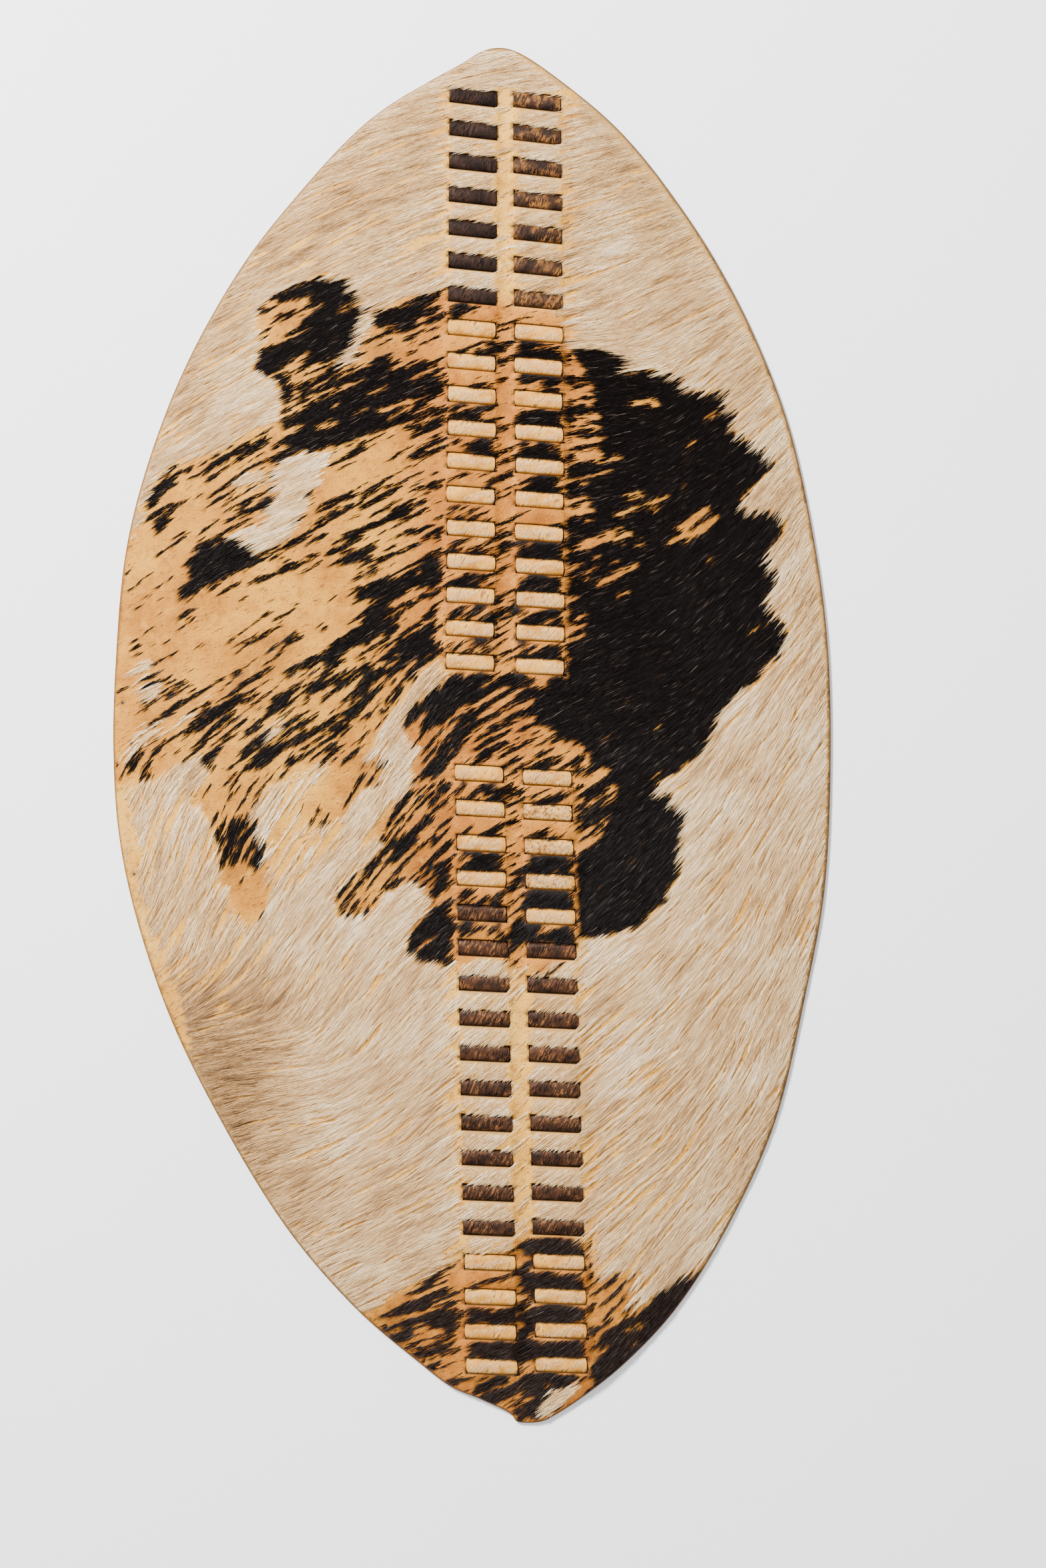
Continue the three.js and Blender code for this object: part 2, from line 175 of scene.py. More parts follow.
UPPER_PANEL = {"middle": (0.093, 0.093), "slit": (36.3, 36.6), "spine": (12.1, 16.9),
               "fall": (0.12, 0.055)}
LOWER_PANEL = {"middle": (0.115, 0.153), "slit": (36.8, 39.4), "spine": (14.7, 13.9),
               "fall": (0.057, 0.035)}
OUTLINE = [
    (0.073, 1), (0.111, 0.997), (0.155, 0.986), (0.243, 0.954), (0.366, 0.902), (0.449, 0.858),
    (0.542, 0.797), (0.673, 0.695), (0.793, 0.574), (0.887, 0.443), (0.954, 0.283), (0.991, 0.138),
    (1, -0.037), (0.983, -0.225), (0.93, -0.378), (0.846, -0.561), (0.712, -0.716),
    (0.572, -0.832), (0.434, -0.91), (0.319, -0.959), (0.225, -0.991), (0.196, -0.998),
    (0.15, -1), (0.122, -0.997), (0.112, -0.989), (0.029, -0.967), (-0.057, -0.948),
    (-0.153, -0.91), (-0.327, -0.832), (-0.518, -0.716), (-0.7, -0.561), (-0.846, -0.405),
    (-0.944, -0.25), (-0.987, -0.134), (-1, -0.015), (-0.994, 0.1), (-0.969, 0.254),
    (-0.918, 0.371), (-0.808, 0.526), (-0.643, 0.681), (-0.468, 0.797), (-0.327, 0.876),
    (-0.237, 0.914), (-0.126, 0.949), (-0.029, 0.977), (0.029, 0.995),
]
OUTLINE_STEPS = 12

full_lift = (HIDE + STRIP) / 2 + CLEARANCE
band_lift = HIGH_BAND_SHARE * full_lift
strip_lift = full_lift - band_lift
slot_gap = 2 * (STRIP / 2 + CLEARANCE
                + (HIDE / 2 - band_lift) * math.cos(STRIP_ANGLE)) / math.sin(STRIP_ANGLE)


def cut_outline():
    """The outline, clockwise from the upper tip, as a smooth closed curve through its points."""
    control = np.array(OUTLINE)
    before, here, after, beyond = (np.roll(control, k, axis=0) for k in (1, 0, -1, -2))
    gaps = [np.linalg.norm(b - a, axis=1, keepdims=True) ** 0.5
            for a, b in ((before, here), (here, after), (after, beyond))]
    into = (here - before) / gaps[0] - (after - before) / (gaps[0] + gaps[1])
    into = (into + (after - here) / gaps[1]) * gaps[1]
    out = (after - here) / gaps[1] - (beyond - here) / (gaps[1] + gaps[2])
    out = (out + (beyond - after) / gaps[2]) * gaps[1]
    share = (np.arange(OUTLINE_STEPS) / OUTLINE_STEPS)[None, :, None]
    here, after, into, out = (v[:, None, :] for v in (here, after, into, out))
    curve = here + into * share + (3 * (after - here) - 2 * into - out) * share ** 2
    curve = (curve + (2 * (here - after) + into + out) * share ** 3).reshape(-1, 2)
    low, high = curve.min(0), curve.max(0)
    return ((curve - low) / (high - low) - 0.5) * [WIDTH, LENGTH]


outline = cut_outline()
head_tip = outline[np.argmax(outline[:, 1])]
foot_tip = outline[np.argmin(outline[:, 1])]
from_head = np.roll(outline, -np.argmax(outline[:, 1]), axis=0)
foot_at = np.argmin(from_head[:, 1])
right_rim = from_head[:foot_at + 1][::-1]
left_rim = np.vstack([from_head[foot_at:], from_head[:1]])


def rim(y):
    """x of the left and of the right rim at a height."""
    return (np.interp(y, left_rim[:, 1], left_rim[:, 0]),
            np.interp(y, right_rim[:, 1], right_rim[:, 0]))


def rim_height(x, end):
    """Height of the rim above (end 1) or below (end -1) the middle, at x."""
    here, after = outline, np.roll(outline, -1, axis=0)
    over = (here[:, 0] - x) * (after[:, 0] - x) <= 0
    share = (x - here[over, 0]) / (after[over, 0] - here[over, 0])
    heights = here[over, 1] + share * (after[over, 1] - here[over, 1])
    return heights.max() if end > 0 else heights.min()


def crown(x, y):
    """Height of the dome over the rim, for the middle of the hide's thickness."""
    spine = np.interp(y, [foot_tip[1], head_tip[1]], [foot_tip[0], head_tip[0]])
    left, right = rim(y)
    reach = np.where(x < spine, spine - left, right - spine)
    ridge = np.minimum(RIDGE_HALF_WIDTH, RIDGE_MOST_OF_REACH * reach)
    out = np.clip((np.abs(x - spine) - ridge) / np.maximum(reach - ridge, CLEARANCE), 0, 1)
    along = 1 - np.minimum(np.abs(y) / (LENGTH / 2), 1) ** CROWN_FULLNESS
    return CROWN_RISE * along * (1 - out ** 2)


class Column:
    """One column of one panel, with its own axes: across the slits, and height down the panel."""

    def __init__(self, panel, side, head, foot):
        self.panel, self.side, self.head, self.foot = panel, side, head, foot
        self.pitch = (head - foot - WINDOW_HEIGHT) / (WINDOWS - 1)
        self.tops = head - self.pitch * np.arange(WINDOWS)

    def ranging(self, name, height):
        return np.interp(height, [self.foot, self.head], self.panel[name][::-1])

    def half(self, height):
        return self.ranging("slit", height) / 2

    def middle(self, height):
        inner = self.ranging("spine", height) / 2
        return self.ranging("middle", height) * WIDTH / 2 + self.side * (inner + self.half(height))

    def at(self, across, height):
        return self.middle(height) + across, height - self.ranging("fall", height) * across

    def locate(self, x, y):
        across, height = x - self.middle(y), y
        for _ in range(3):
            height = y + self.ranging("fall", height) * across
            across = x - self.middle(height)
        return across, height

    def below_top(self, height):
        """How far a height lies below the top of its window or of the window above it."""
        return np.mod(self.head - height, self.pitch)

    def in_window(self, x, y, top, rest):
        """True inside a window made larger by a margin at its top and one at its other sides."""
        across, height = self.locate(x, y)
        below = self.below_top(height - top)
        tall = below < WINDOW_HEIGHT + top + rest
        inside_panel = (height < self.head + top) & (height > self.foot - rest)
        return tall & inside_panel & (np.abs(across) < self.half(height) + rest)


def end_of_column(panel, side, end, margin):
    """Height of the first or last slit: a margin inside the rim, at the slit's outer corner."""
    i = 0 if end > 0 else 1
    outer = panel["middle"][i] * WIDTH / 2 + side * (panel["spine"][i] / 2 + panel["slit"][i])
    return rim_height(outer, end) - end * margin + side * panel["fall"][i] * panel["slit"][i] / 2


columns = {}
for side_name, side in (("left", -1), ("right", 1)):
    field = FIELD_CENTRE - (RIGHT_COLUMN_DROP if side > 0 else 0)
    columns[side_name] = (
        Column(UPPER_PANEL, side, end_of_column(UPPER_PANEL, side, 1, HEAD_MARGIN),
               field + FIELD_HEIGHT / 2),
        Column(LOWER_PANEL, side, field - FIELD_HEIGHT / 2,
               end_of_column(LOWER_PANEL, side, -1, FOOT_MARGIN)),
    )
all_columns = [column for pair in columns.values() for column in pair]


def smooth(share):
    """A share from 0 to 1, eased at both ends."""
    share = np.clip(share, 0, 1)
    return share * share * (3 - 2 * share)


def lift_of_bands(x, y):
    """How far the hide stands above the dome: low in a window, high and bulging between two."""
    total = np.zeros(np.shape(x))
    for column in all_columns:
        across, height = column.locate(x, y)
        inside_slit = column.half(height) - np.abs(across)
        low_side = smooth(inside_slit / SIDE_RAMP)
        high_side = smooth((inside_slit + BAND_BLENDS_OUT) / (BAND_BLENDS_OUT + SIDE_RAMP))
        below = column.below_top(height)
        high = np.maximum(1 - below / slot_gap, 1 - (WINDOW_HEIGHT - below) / slot_gap)
        high = np.where(below > WINDOW_HEIGHT, 1, smooth(high))
        share = np.clip((below - WINDOW_HEIGHT) / (column.pitch - WINDOW_HEIGHT), 0, 1)
        bulge = BAND_BULGE * np.sin(math.pi * share)
        head_ramp = RAMP_AT_TIPS if column.panel is UPPER_PANEL else RAMP_AT_FIELD
        foot_ramp = RAMP_AT_FIELD if column.panel is UPPER_PANEL else RAMP_AT_TIPS
        above = smooth(1 - (height - column.head) / head_ramp)
        under = smooth(1 - (column.foot - height) / foot_ramp)
        bulge = np.where((height >= column.head) | (height <= column.foot), 0, bulge)
        high = np.where(height >= column.head, above, np.where(height <= column.foot, under, high))
        low = np.where((height >= column.head) | (height <= column.foot), 0, 1 - high)
        total += (high * band_lift + bulge) * high_side - low * band_lift * low_side
    return total


def hide_middle(x, y):
    """Height of the middle of the hide's thickness over the floor."""
    return HIDE / 2 + crown(x, y) + lift_of_bands(x, y)


# Coat of the hide: which hair grows where, and which way it lies. The cow is pale with black
# patches. The black hair is worn to streaks over bare tan skin on the left, and dense on the
# right. Every hair lies towards the lower left, flat at the head and steep lower down.
CELL = 0.75
PALE_COVER = 0.965
WINDOW_BARE_MARGIN = 13.0
BARE_SPINE = 15.0
BARE_BESIDE_BLACK = {-1: 8.5, 1: 2.2}
BARE_RIM = 17.0
BARE_RIM_HEAD = (150, 1130)
BARE_RIM_FOOT = (250, 1575)
KEPT_BESIDE_WINDOWS = 0.35
KEPT_BETWEEN_COLUMNS = 0.12
KEPT_AT_RIM = 0.06
KEPT_OF_WORN_BLACK = 0.12
RAGGED_EDGE = 8.0
PAINT_MARGIN_CELLS = 8

# Slope of the hair in degrees over level at points of the coat, rising to the upper right.
HAIR_SLOPE = [
    (770, 110, 12), (690, 180, 15), (600, 280, 22), (480, 400, 27), (360, 560, 30),
    (280, 640, 33), (560, 430, 25), (860, 200, 15), (900, 330, 18), (1000, 450, 27),
    (1100, 560, 38), (1180, 700, 50), (1215, 850, 60), (1225, 1050, 60), (450, 600, 27),
    (600, 560, 24), (560, 760, 26), (400, 860, 27), (260, 850, 35), (560, 960, 30),
    (360, 1010, 30), (220, 1010, 28), (370, 1100, 38), (500, 1080, 33), (260, 1060, 30),
    (210, 1200, 62), (250, 1260, 72), (330, 1260, 65), (430, 1230, 57), (300, 1400, 66),
    (400, 1350, 58), (600, 1070, 55), (570, 1180, 58), (640, 1200, 45), (660, 1320, 40),
    (520, 1330, 50), (470, 1450, 57), (560, 1500, 52), (280, 1480, 40), (320, 1560, 10),
    (400, 1600, 6), (440, 1650, 12), (330, 1680, 15), (390, 1770, 25), (620, 1650, 38),
    (540, 1760, 30), (560, 1850, 27), (640, 1920, 25), (640, 2010, 20), (760, 760, 22),
    (780, 1080, 27), (770, 1250, 25), (780, 1500, 42), (790, 1750, 36), (780, 1950, 22),
    (900, 560, 6), (910, 630, 9), (890, 760, 17), (900, 860, 22), (960, 1000, 27),
    (1050, 700, 33), (1120, 850, 40),
    (1100, 960, 42), (960, 1200, 38), (1000, 1280, 48), (920, 1380, 40), (1130, 1180, 58),
    (1180, 1350, 66), (1050, 1450, 50), (1150, 1550, 66), (940, 1560, 40), (1080, 1700, 55),
    (930, 1760, 38), (1000, 1860, 52), (960, 2000, 45), (880, 2080, 35),
]

# Edge of the black and tan field, from the head of the left column round by the left to the foot
# of the columns, and then up the right patch.
FIELD_LEFT_EDGE = from_photo(
    (661, 437), (627, 443), (592, 457), (565, 472), (546, 457), (523, 422), (508, 418),
    (481, 415), (465, 426), (438, 430), (415, 438), (398, 455), (381, 472), (377, 491),
    (388, 507), (396, 518), (385, 534), (381, 549), (388, 565), (415, 572), (423, 588),
    (419, 611), (411, 630), (365, 649), (346, 668), (331, 678), (311, 676), (292, 688),
    (269, 695), (246, 707), (231, 726), (223, 745), (211, 761), (190, 775), (140, 800),
    (140, 1190), (186, 1180), (210, 1172), (234, 1168), (242, 1160), (270, 1148), (294, 1136),
    (306, 1148), (310, 1164), (290, 1188), (282, 1200), (302, 1220), (326, 1264), (330, 1296),
    (334, 1320), (346, 1352), (354, 1380), (366, 1390), (398, 1376), (406, 1352), (406, 1320),
    (398, 1300), (394, 1272), (390, 1240), (378, 1212), (394, 1188), (398, 1176), (430, 1168),
    (454, 1156), (482, 1148), (502, 1148), (486, 1164), (470, 1180), (458, 1200), (445, 1222),
    (470, 1240), (510, 1232), (522, 1220), (530, 1204), (546, 1192), (570, 1176), (578, 1160),
    (582, 1144), (574, 1136), (546, 1132), (566, 1116), (574, 1096), (582, 1076), (594, 1056),
    (610, 1040), (622, 1024), (630, 1004), (658, 990), (674, 1012), (658, 1028), (634, 1044),
    (618, 1064), (610, 1080), (602, 1096), (614, 1120), (630, 1124), (618, 1152), (618, 1176),
    (602, 1192), (582, 1216), (574, 1232), (558, 1256), (574, 1264), (566, 1284), (534, 1304),
    (510, 1332), (498, 1352), (506, 1368), (534, 1376), (554, 1372), (566, 1356), (574, 1336),
    (594, 1324), (618, 1322), (630, 1332), (646, 1344), (642, 1360), (626, 1384), (610, 1408),
    (610, 1428), (630, 1440), (658, 1444), (700, 1446), (735, 1434), (765, 1448), (800, 1462),
    (838, 1458),
)
RIGHT_PATCH_EDGE = from_photo(
    (852, 1430), (870, 1404), (886, 1408), (910, 1404), (938, 1396), (958, 1388), (966, 1376),
    (978, 1364), (1002, 1348), (1002, 1328), (1014, 1312), (1022, 1296), (1020, 1276),
    (1022, 1256), (1030, 1236), (1034, 1220), (1010, 1200), (994, 1188), (982, 1174),
    (998, 1164), (1014, 1160), (1030, 1148), (1050, 1132), (1062, 1112), (1070, 1100),
    (1074, 1080), (1082, 1060), (1110, 1040), (1134, 1024), (1150, 1005), (1171, 980),
    (1177, 959), (1175, 942), (1160, 922), (1150, 905), (1156, 888), (1167, 868), (1158, 851),
    (1146, 838), (1150, 822), (1167, 805), (1177, 788), (1171, 772), (1150, 761), (1129, 768),
    (1113, 763), (1117, 747), (1129, 738), (1142, 722), (1160, 705), (1158, 688), (1142, 672),
    (1117, 659), (1096, 647), (1104, 626), (1088, 605), (1092, 588), (1067, 588), (1038, 593),
    (1025, 580), (1021, 568), (1000, 563), (967, 555), (938, 559), (946, 547), (942, 536),
    (917, 530), (896, 522), (867, 524), (854, 530),
)
FIELD_HEAD_EDGE = from_photo(
    (848, 500), (842, 472), (800, 464), (760, 455), (745, 445), (700, 438),
)
DARK_FIELD = np.vstack([FIELD_LEFT_EDGE, RIGHT_PATCH_EDGE, FIELD_HEAD_EDGE])
RIGHT_PATCH = np.vstack([RIGHT_PATCH_EDGE, from_photo(
    (866, 545), (884, 575), (872, 610), (880, 655), (900, 690), (915, 735), (955, 790),
    (930, 850), (900, 900), (880, 950), (862, 990), (830, 1012), (792, 1040), (806, 1080),
    (850, 1104), (905, 1150), (930, 1200), (900, 1250), (868, 1284), (850, 1330), (850, 1420))])
DARK_FOOT = from_photo(
    (520, 1980), (548, 1965), (600, 1935), (640, 1912), (662, 1898), (694, 1884), (720, 1880),
    (770, 1868), (800, 1850), (840, 1848), (880, 1862), (893, 1885), (895, 1909), (936, 1905),
    (962, 1912), (973, 1920), (957, 1952), (968, 1957), (991, 1927), (1041, 1907), (1080, 1880),
    (1080, 2150), (520, 2150),
)


def box(left, top, right, bottom):
    """An upright box of the photograph as a closed line on the shield."""
    return from_photo((left, top), (right, top), (right, bottom), (left, bottom))


# How much of an area its black hair covers, each area later in the list over those before it.
BLACK_COVER = [
    (0.33, DARK_FIELD),
    (0.02, from_photo((130, 690), (236, 735), (240, 780), (205, 850), (196, 960), (214, 1040),
                      (205, 1090), (190, 1190), (130, 1200))),
    (0.07, from_photo((205, 760), (300, 690), (320, 760), (270, 860), (330, 900), (420, 868),
                      (530, 850), (535, 925), (480, 985), (330, 1020), (215, 1010), (196, 930))),
    (0.62, from_photo((385, 440), (470, 415), (530, 425), (560, 470), (661, 440), (661, 600),
                      (560, 640), (430, 690), (420, 600), (385, 545))),
    (0.30, from_photo((384, 470), (407, 450), (470, 450), (458, 480), (440, 500), (392, 520))),
    (0.93, from_photo((407, 430), (440, 422), (481, 415), (520, 420), (516, 440), (470, 440),
                      (430, 452), (402, 458))),
    (0.94, from_photo((516, 426), (550, 466), (546, 496), (527, 529), (493, 546), (447, 551),
                      (430, 569), (441, 597), (424, 606), (413, 569), (396, 540), (390, 523),
                      (436, 511), (459, 494), (485, 466), (500, 440))),
    (0.92, from_photo((661, 440), (627, 446), (573, 467), (562, 478), (564, 491), (588, 488),
                      (619, 478), (658, 466))),
    (0.90, from_photo((584, 557), (655, 547), (661, 563), (607, 597), (567, 609), (550, 597),
                      (590, 574))),
    (0.96, from_photo((650, 605), (573, 626), (496, 649), (442, 672), (469, 681), (519, 669),
                      (554, 650), (611, 635), (654, 618))),
    (0.96, from_photo((346, 801), (365, 815), (386, 830), (373, 845), (350, 857), (319, 872),
                      (300, 892), (277, 902), (262, 884), (281, 857), (281, 845), (292, 834),
                      (304, 822), (327, 807))),
    (0.55, from_photo((222, 735), (238, 708), (275, 692), (268, 716), (236, 740), (226, 760))),
    (0.50, from_photo((222, 780), (250, 750), (264, 758), (246, 800), (228, 812))),
    (0.55, from_photo((560, 870), (672, 830), (672, 985), (650, 985), (618, 1010), (560, 1070),
                      (420, 1060), (430, 1000), (540, 940))),
    (0.85, from_photo((672, 905), (666, 945), (640, 975), (600, 1005), (585, 1010), (610, 965),
                      (645, 930))),
    (0.55, from_photo((250, 1130), (298, 1060), (446, 1010), (560, 1050), (520, 1100),
                      (446, 1150), (330, 1160))),
    (0.84, from_photo((318, 1232), (352, 1226), (392, 1222), (400, 1250), (406, 1290),
                      (360, 1296), (322, 1290))),
    (0.06, from_photo((332, 1306), (402, 1302), (404, 1370), (360, 1386))),
    (0.10, from_photo((470, 1150), (560, 1140), (576, 1165), (540, 1200), (505, 1236),
                      (450, 1226))),
    (0.30, from_photo((618, 1180), (672, 1150), (672, 1290), (640, 1260), (590, 1240))),
    (0.50, from_photo((500, 1350), (560, 1290), (700, 1280), (700, 1340), (640, 1340),
                      (560, 1380))),
    (0.93, from_photo((682, 1366), (650, 1372), (612, 1404), (610, 1430), (660, 1446),
                      (682, 1448))),
    (0.12, from_photo((744, 470), (776, 470), (776, 1010), (744, 1010))),
    (0.26, box(744, 780, 776, 1010)),
    (0.52, box(660, 500, 744, 1010)),
    (0.06, box(668, 550, 744, 586)),
    (0.72, box(776, 508, 850, 1010)),
    (0.06, box(776, 470, 850, 505)),
    (0.08, box(776, 756, 850, 792)),
    (0.90, from_photo((850, 560), (905, 545), (935, 700), (965, 800), (955, 900), (900, 1010),
                      (850, 1010))),
    (0.05, from_photo((850, 524), (866, 530), (872, 552), (880, 572), (850, 582))),
    (0.10, from_photo((850, 724), (880, 726), (900, 760), (884, 790), (850, 784))),
    (0.86, from_photo((606, 1096), (612, 1070), (640, 1040), (680, 1012), (719, 1008),
                      (790, 1012), (800, 1040), (745, 1060), (690, 1082), (640, 1100))),
    (0.50, from_photo((640, 1100), (690, 1082), (745, 1058), (800, 1040), (820, 1090),
                      (800, 1150), (672, 1150), (625, 1170))),
    (0.10, from_photo((752, 1106), (776, 1084), (810, 1076), (832, 1096), (842, 1118),
                      (820, 1136), (770, 1140))),
    (0.99, RIGHT_PATCH),
    (0.52, from_photo((850, 585), (884, 575), (900, 640), (892, 700), (872, 760), (850, 800))),
    (0.72, from_photo((850, 790), (880, 760), (896, 830), (880, 930), (862, 1000), (850, 1010))),
    (0.82, from_photo((876, 700), (930, 690), (990, 760), (960, 850), (890, 900), (884, 760))),
    (0.12, from_photo((1060, 763), (1067, 767), (1077, 780), (1063, 792), (1038, 805),
                      (1013, 820), (990, 818), (1000, 801), (1025, 780))),
    (0.02, from_photo((942, 598), (996, 606), (975, 611), (946, 609))),
    (0.02, from_photo((967, 750), (996, 744), (990, 752), (970, 756))),
    (0.02, from_photo((1052, 846), (1074, 838), (1066, 847))),
    (0.02, from_photo((1022, 904), (1052, 896), (1036, 908))),
    (0.02, from_photo((966, 1092), (992, 1082), (984, 1094))),
    (0.50, from_photo((850, 1140), (900, 1150), (924, 1190), (912, 1236), (850, 1250))),
    (0.50, box(672, 1150, 752, 1440)),
    (0.24, box(752, 1140, 788, 1440)),
    (0.38, box(788, 1140, 856, 1262)),
    (0.97, box(788, 1272, 860, 1412)),
    (0.90, box(672, 1368, 752, 1402)),
    (0.45, DARK_FOOT),
    (0.12, from_photo((694, 1884), (740, 1880), (770, 1868), (775, 1920), (770, 2040),
                      (690, 2060), (684, 1990), (690, 1930), (650, 1935))),
    (0.93, box(782, 1846, 880, 1884)),
    (0.93, box(782, 1906, 884, 1938)),
    (0.90, box(694, 1956, 884, 1984)),
    (0.92, box(694, 2006, 884, 2036)),
    (0.60, from_photo((556, 1968), (660, 1910), (680, 1960), (684, 2070), (640, 2056))),
    (0.20, from_photo((884, 1880), (935, 1904), (960, 1925), (940, 1970), (895, 1996),
                      (884, 1990))),
    (0.97, from_photo((1070, 1890), (1041, 1907), (985, 1936), (968, 1962), (936, 1975),
                      (897, 2000), (884, 2045), (886, 2073), (930, 2080), (1080, 2000))),
    (0.80, from_photo((690, 2062), (760, 2052), (860, 2056), (850, 2080), (820, 2100),
                      (810, 2130), (760, 2120))),
    (0.02, from_photo((577, 527), (582, 515), (594, 510), (606, 516), (610, 528), (604, 540),
                      (592, 544), (580, 538))),
]

# Pale hair inside the dark areas, and where it is thinner than elsewhere.
PALE_COVER_AREAS = [
    (0.95, from_photo((560, 470), (554, 495), (538, 518), (530, 545), (513, 553), (516, 540),
                      (533, 515), (546, 491), (545, 462))),
    (1.00, from_photo((427, 688), (450, 680), (485, 684), (511, 678), (485, 707), (481, 726),
                      (469, 738), (458, 745), (458, 768), (446, 788), (435, 803), (419, 818),
                      (396, 828), (377, 822), (365, 807), (346, 799), (365, 795), (388, 788),
                      (400, 776), (411, 761), (419, 742), (415, 722), (408, 707), (419, 695))),
    (0.75, from_photo((358, 722), (384, 709), (406, 712), (398, 726), (372, 732))),
    (0.80, from_photo((198, 1006), (212, 992), (230, 994), (226, 1012), (206, 1022))),
    (0.80, from_photo((206, 1034), (224, 1024), (244, 1026), (242, 1046), (218, 1048))),
    (0.55, from_photo((186, 1128), (200, 1096), (262, 1072), (318, 1040), (300, 1064),
                      (250, 1096), (222, 1120), (190, 1136))),
    (0.60, from_photo((186, 790), (204, 772), (218, 770), (206, 800), (190, 812))),
    (0.60, from_photo((396, 1100), (420, 1080), (436, 1070), (424, 1094), (404, 1108))),
    (0.72, from_photo((398, 1178), (482, 1150), (502, 1150), (470, 1182), (440, 1222),
                      (400, 1300), (390, 1230))),
    (0.95, from_photo((816, 2110), (826, 2084), (862, 2074), (858, 2088), (838, 2112),
                      (822, 2126))),
    (0.85, from_photo((945, 1912), (974, 1922), (958, 1956), (944, 1968), (950, 1940))),
    (0.90, from_photo((712, 1430), (752, 1430), (742, 1450), (706, 1452))),
    (0.86, from_photo((820, 1440), (856, 1434), (856, 1460), (824, 1462))),
]
THIN_PALE = [
    (0.20, from_photo((160, 1150), (190, 1150), (192, 1200), (184, 1250), (198, 1330), (222, 1405),
                      (252, 1465), (238, 1500), (200, 1440), (165, 1290))),
    (0.55, from_photo((400, 1210), (470, 1196), (520, 1244), (470, 1300), (424, 1350),
                      (402, 1300))),
    (0.30, from_photo((300, 1462), (330, 1448), (344, 1460), (312, 1482))),
    (0.25, from_photo((308, 1524), (338, 1500), (352, 1506), (322, 1530))),
    (0.90, from_photo((380, 300), (640, 260), (640, 430), (400, 450), (300, 690), (200, 760),
                      (230, 600))),
    (0.86, from_photo((160, 1180), (330, 1180), (420, 1320), (400, 1480), (260, 1500),
                      (170, 1300))),
    (0.90, from_photo((880, 1500), (1100, 1560), (1060, 1760), (900, 1900), (880, 1880))),
    (0.93, from_photo((1040, 1400), (1240, 1300), (1180, 1600), (1060, 1700))),
]
# Where the pale hair is darker and taupe, as share of full taupe.
TAUPE_AREAS = [
    (0.70, from_photo((240, 1450), (430, 1450), (460, 1560), (430, 1700), (340, 1720),
                      (240, 1560))),
    (0.35, from_photo((340, 1720), (470, 1700), (520, 1800), (440, 1850))),
    (0.30, from_photo((320, 420), (640, 150), (640, 300), (420, 440), (260, 640))),
    (0.25, from_photo((900, 200), (1060, 380), (1120, 520), (980, 420))),
    (0.20, from_photo((540, 1780), (660, 1720), (660, 1880), (560, 1940))),
]

cells_x = np.arange(-WIDTH / 2, WIDTH / 2 + CELL, CELL)
cells_y = np.arange(-LENGTH / 2, LENGTH / 2 + CELL, CELL)
cell_x, cell_y = np.meshgrid(cells_x, cells_y)


def at(chart, x, y):
    """Values of a chart of the coat at points of the shield."""
    column = np.clip(np.rint((x - cells_x[0]) / CELL).astype(int), 0, len(cells_x) - 1)
    row = np.clip(np.rint((y - cells_y[0]) / CELL).astype(int), 0, len(cells_y) - 1)
    return chart[row, column]


def inside(area, x, y):
    """True where a point lies inside a closed line."""
    odd = np.zeros(np.shape(x), bool)
    for (x1, y1), (x2, y2) in zip(area, np.roll(area, -1, axis=0)):
        if y1 != y2:
            odd ^= ((y1 > y) != (y2 > y)) & (x < x1 + (y - y1) / (y2 - y1) * (x2 - x1))
    return odd


def paint(chart, areas, x=cell_x, y=cell_y):
    """Gives each area of a chart its value, looking only at the cells round the area."""
    for value, area in areas:
        low = np.floor((area.min(0) - [cells_x[0], cells_y[0]]) / CELL).astype(int) - PAINT_MARGIN_CELLS
        high = np.ceil((area.max(0) - [cells_x[0], cells_y[0]]) / CELL).astype(int)
        high += PAINT_MARGIN_CELLS + 1
        low = np.maximum(low, 0)
        cells = (slice(low[1], max(high[1], 0)), slice(low[0], max(high[0], 0)))
        chart[cells][inside(area, x[cells], y[cells])] = value
    return chart


def blur(chart, radius):
    """A chart averaged over a square of about twice the radius, in millimetres."""
    reach = max(int(round(radius / CELL)), 1)
    for axis in (0, 1):
        padded = np.pad(chart, [(reach + 1, reach) if a == axis else (0, 0) for a in (0, 1)],
                        mode="edge")
        sums = np.cumsum(padded, axis=axis)
        take = 2 * reach + 1
        chart = (np.take(sums, range(take, sums.shape[axis]), axis)
                 - np.take(sums, range(sums.shape[axis] - take), axis)) / take
    return chart


def lattice_noise(spacing, seed):
    """Smooth noise from 0 to 1 on the chart, with bumps of about the spacing."""
    rng = np.random.default_rng(seed)
    grid = rng.random((int(LENGTH / spacing) + 4, int(WIDTH / spacing) + 4))
    v, u = (cell_y - cells_y[0]) / spacing, (cell_x - cells_x[0]) / spacing
    row, column = v.astype(int), u.astype(int)
    v, u = v - row, u - column
    v, u = v * v * (3 - 2 * v), u * u * (3 - 2 * u)
    low = grid[row, column] * (1 - u) + grid[row, column + 1] * u
    high = grid[row + 1, column] * (1 - u) + grid[row + 1, column + 1] * u
    return low * (1 - v) + high * v


def slope_of_hair(x, y):
    """Angle of the hair over level, as a smooth mean of the nearest given ones."""
    sine, cosine = np.zeros(np.shape(x)), np.zeros(np.shape(x))
    for (px, py), angle in zip(from_photo(*[p[:2] for p in HAIR_SLOPE]), HAIR_SLOPE):
        weight = 1 / ((x - px) ** 2 + (y - py) ** 2 + 15 ** 2) ** 2
        sine += weight * math.sin(math.radians(angle[2]))
        cosine += weight * math.cos(math.radians(angle[2]))
    return np.arctan2(sine, cosine)


slope = slope_of_hair(cell_x, cell_y)


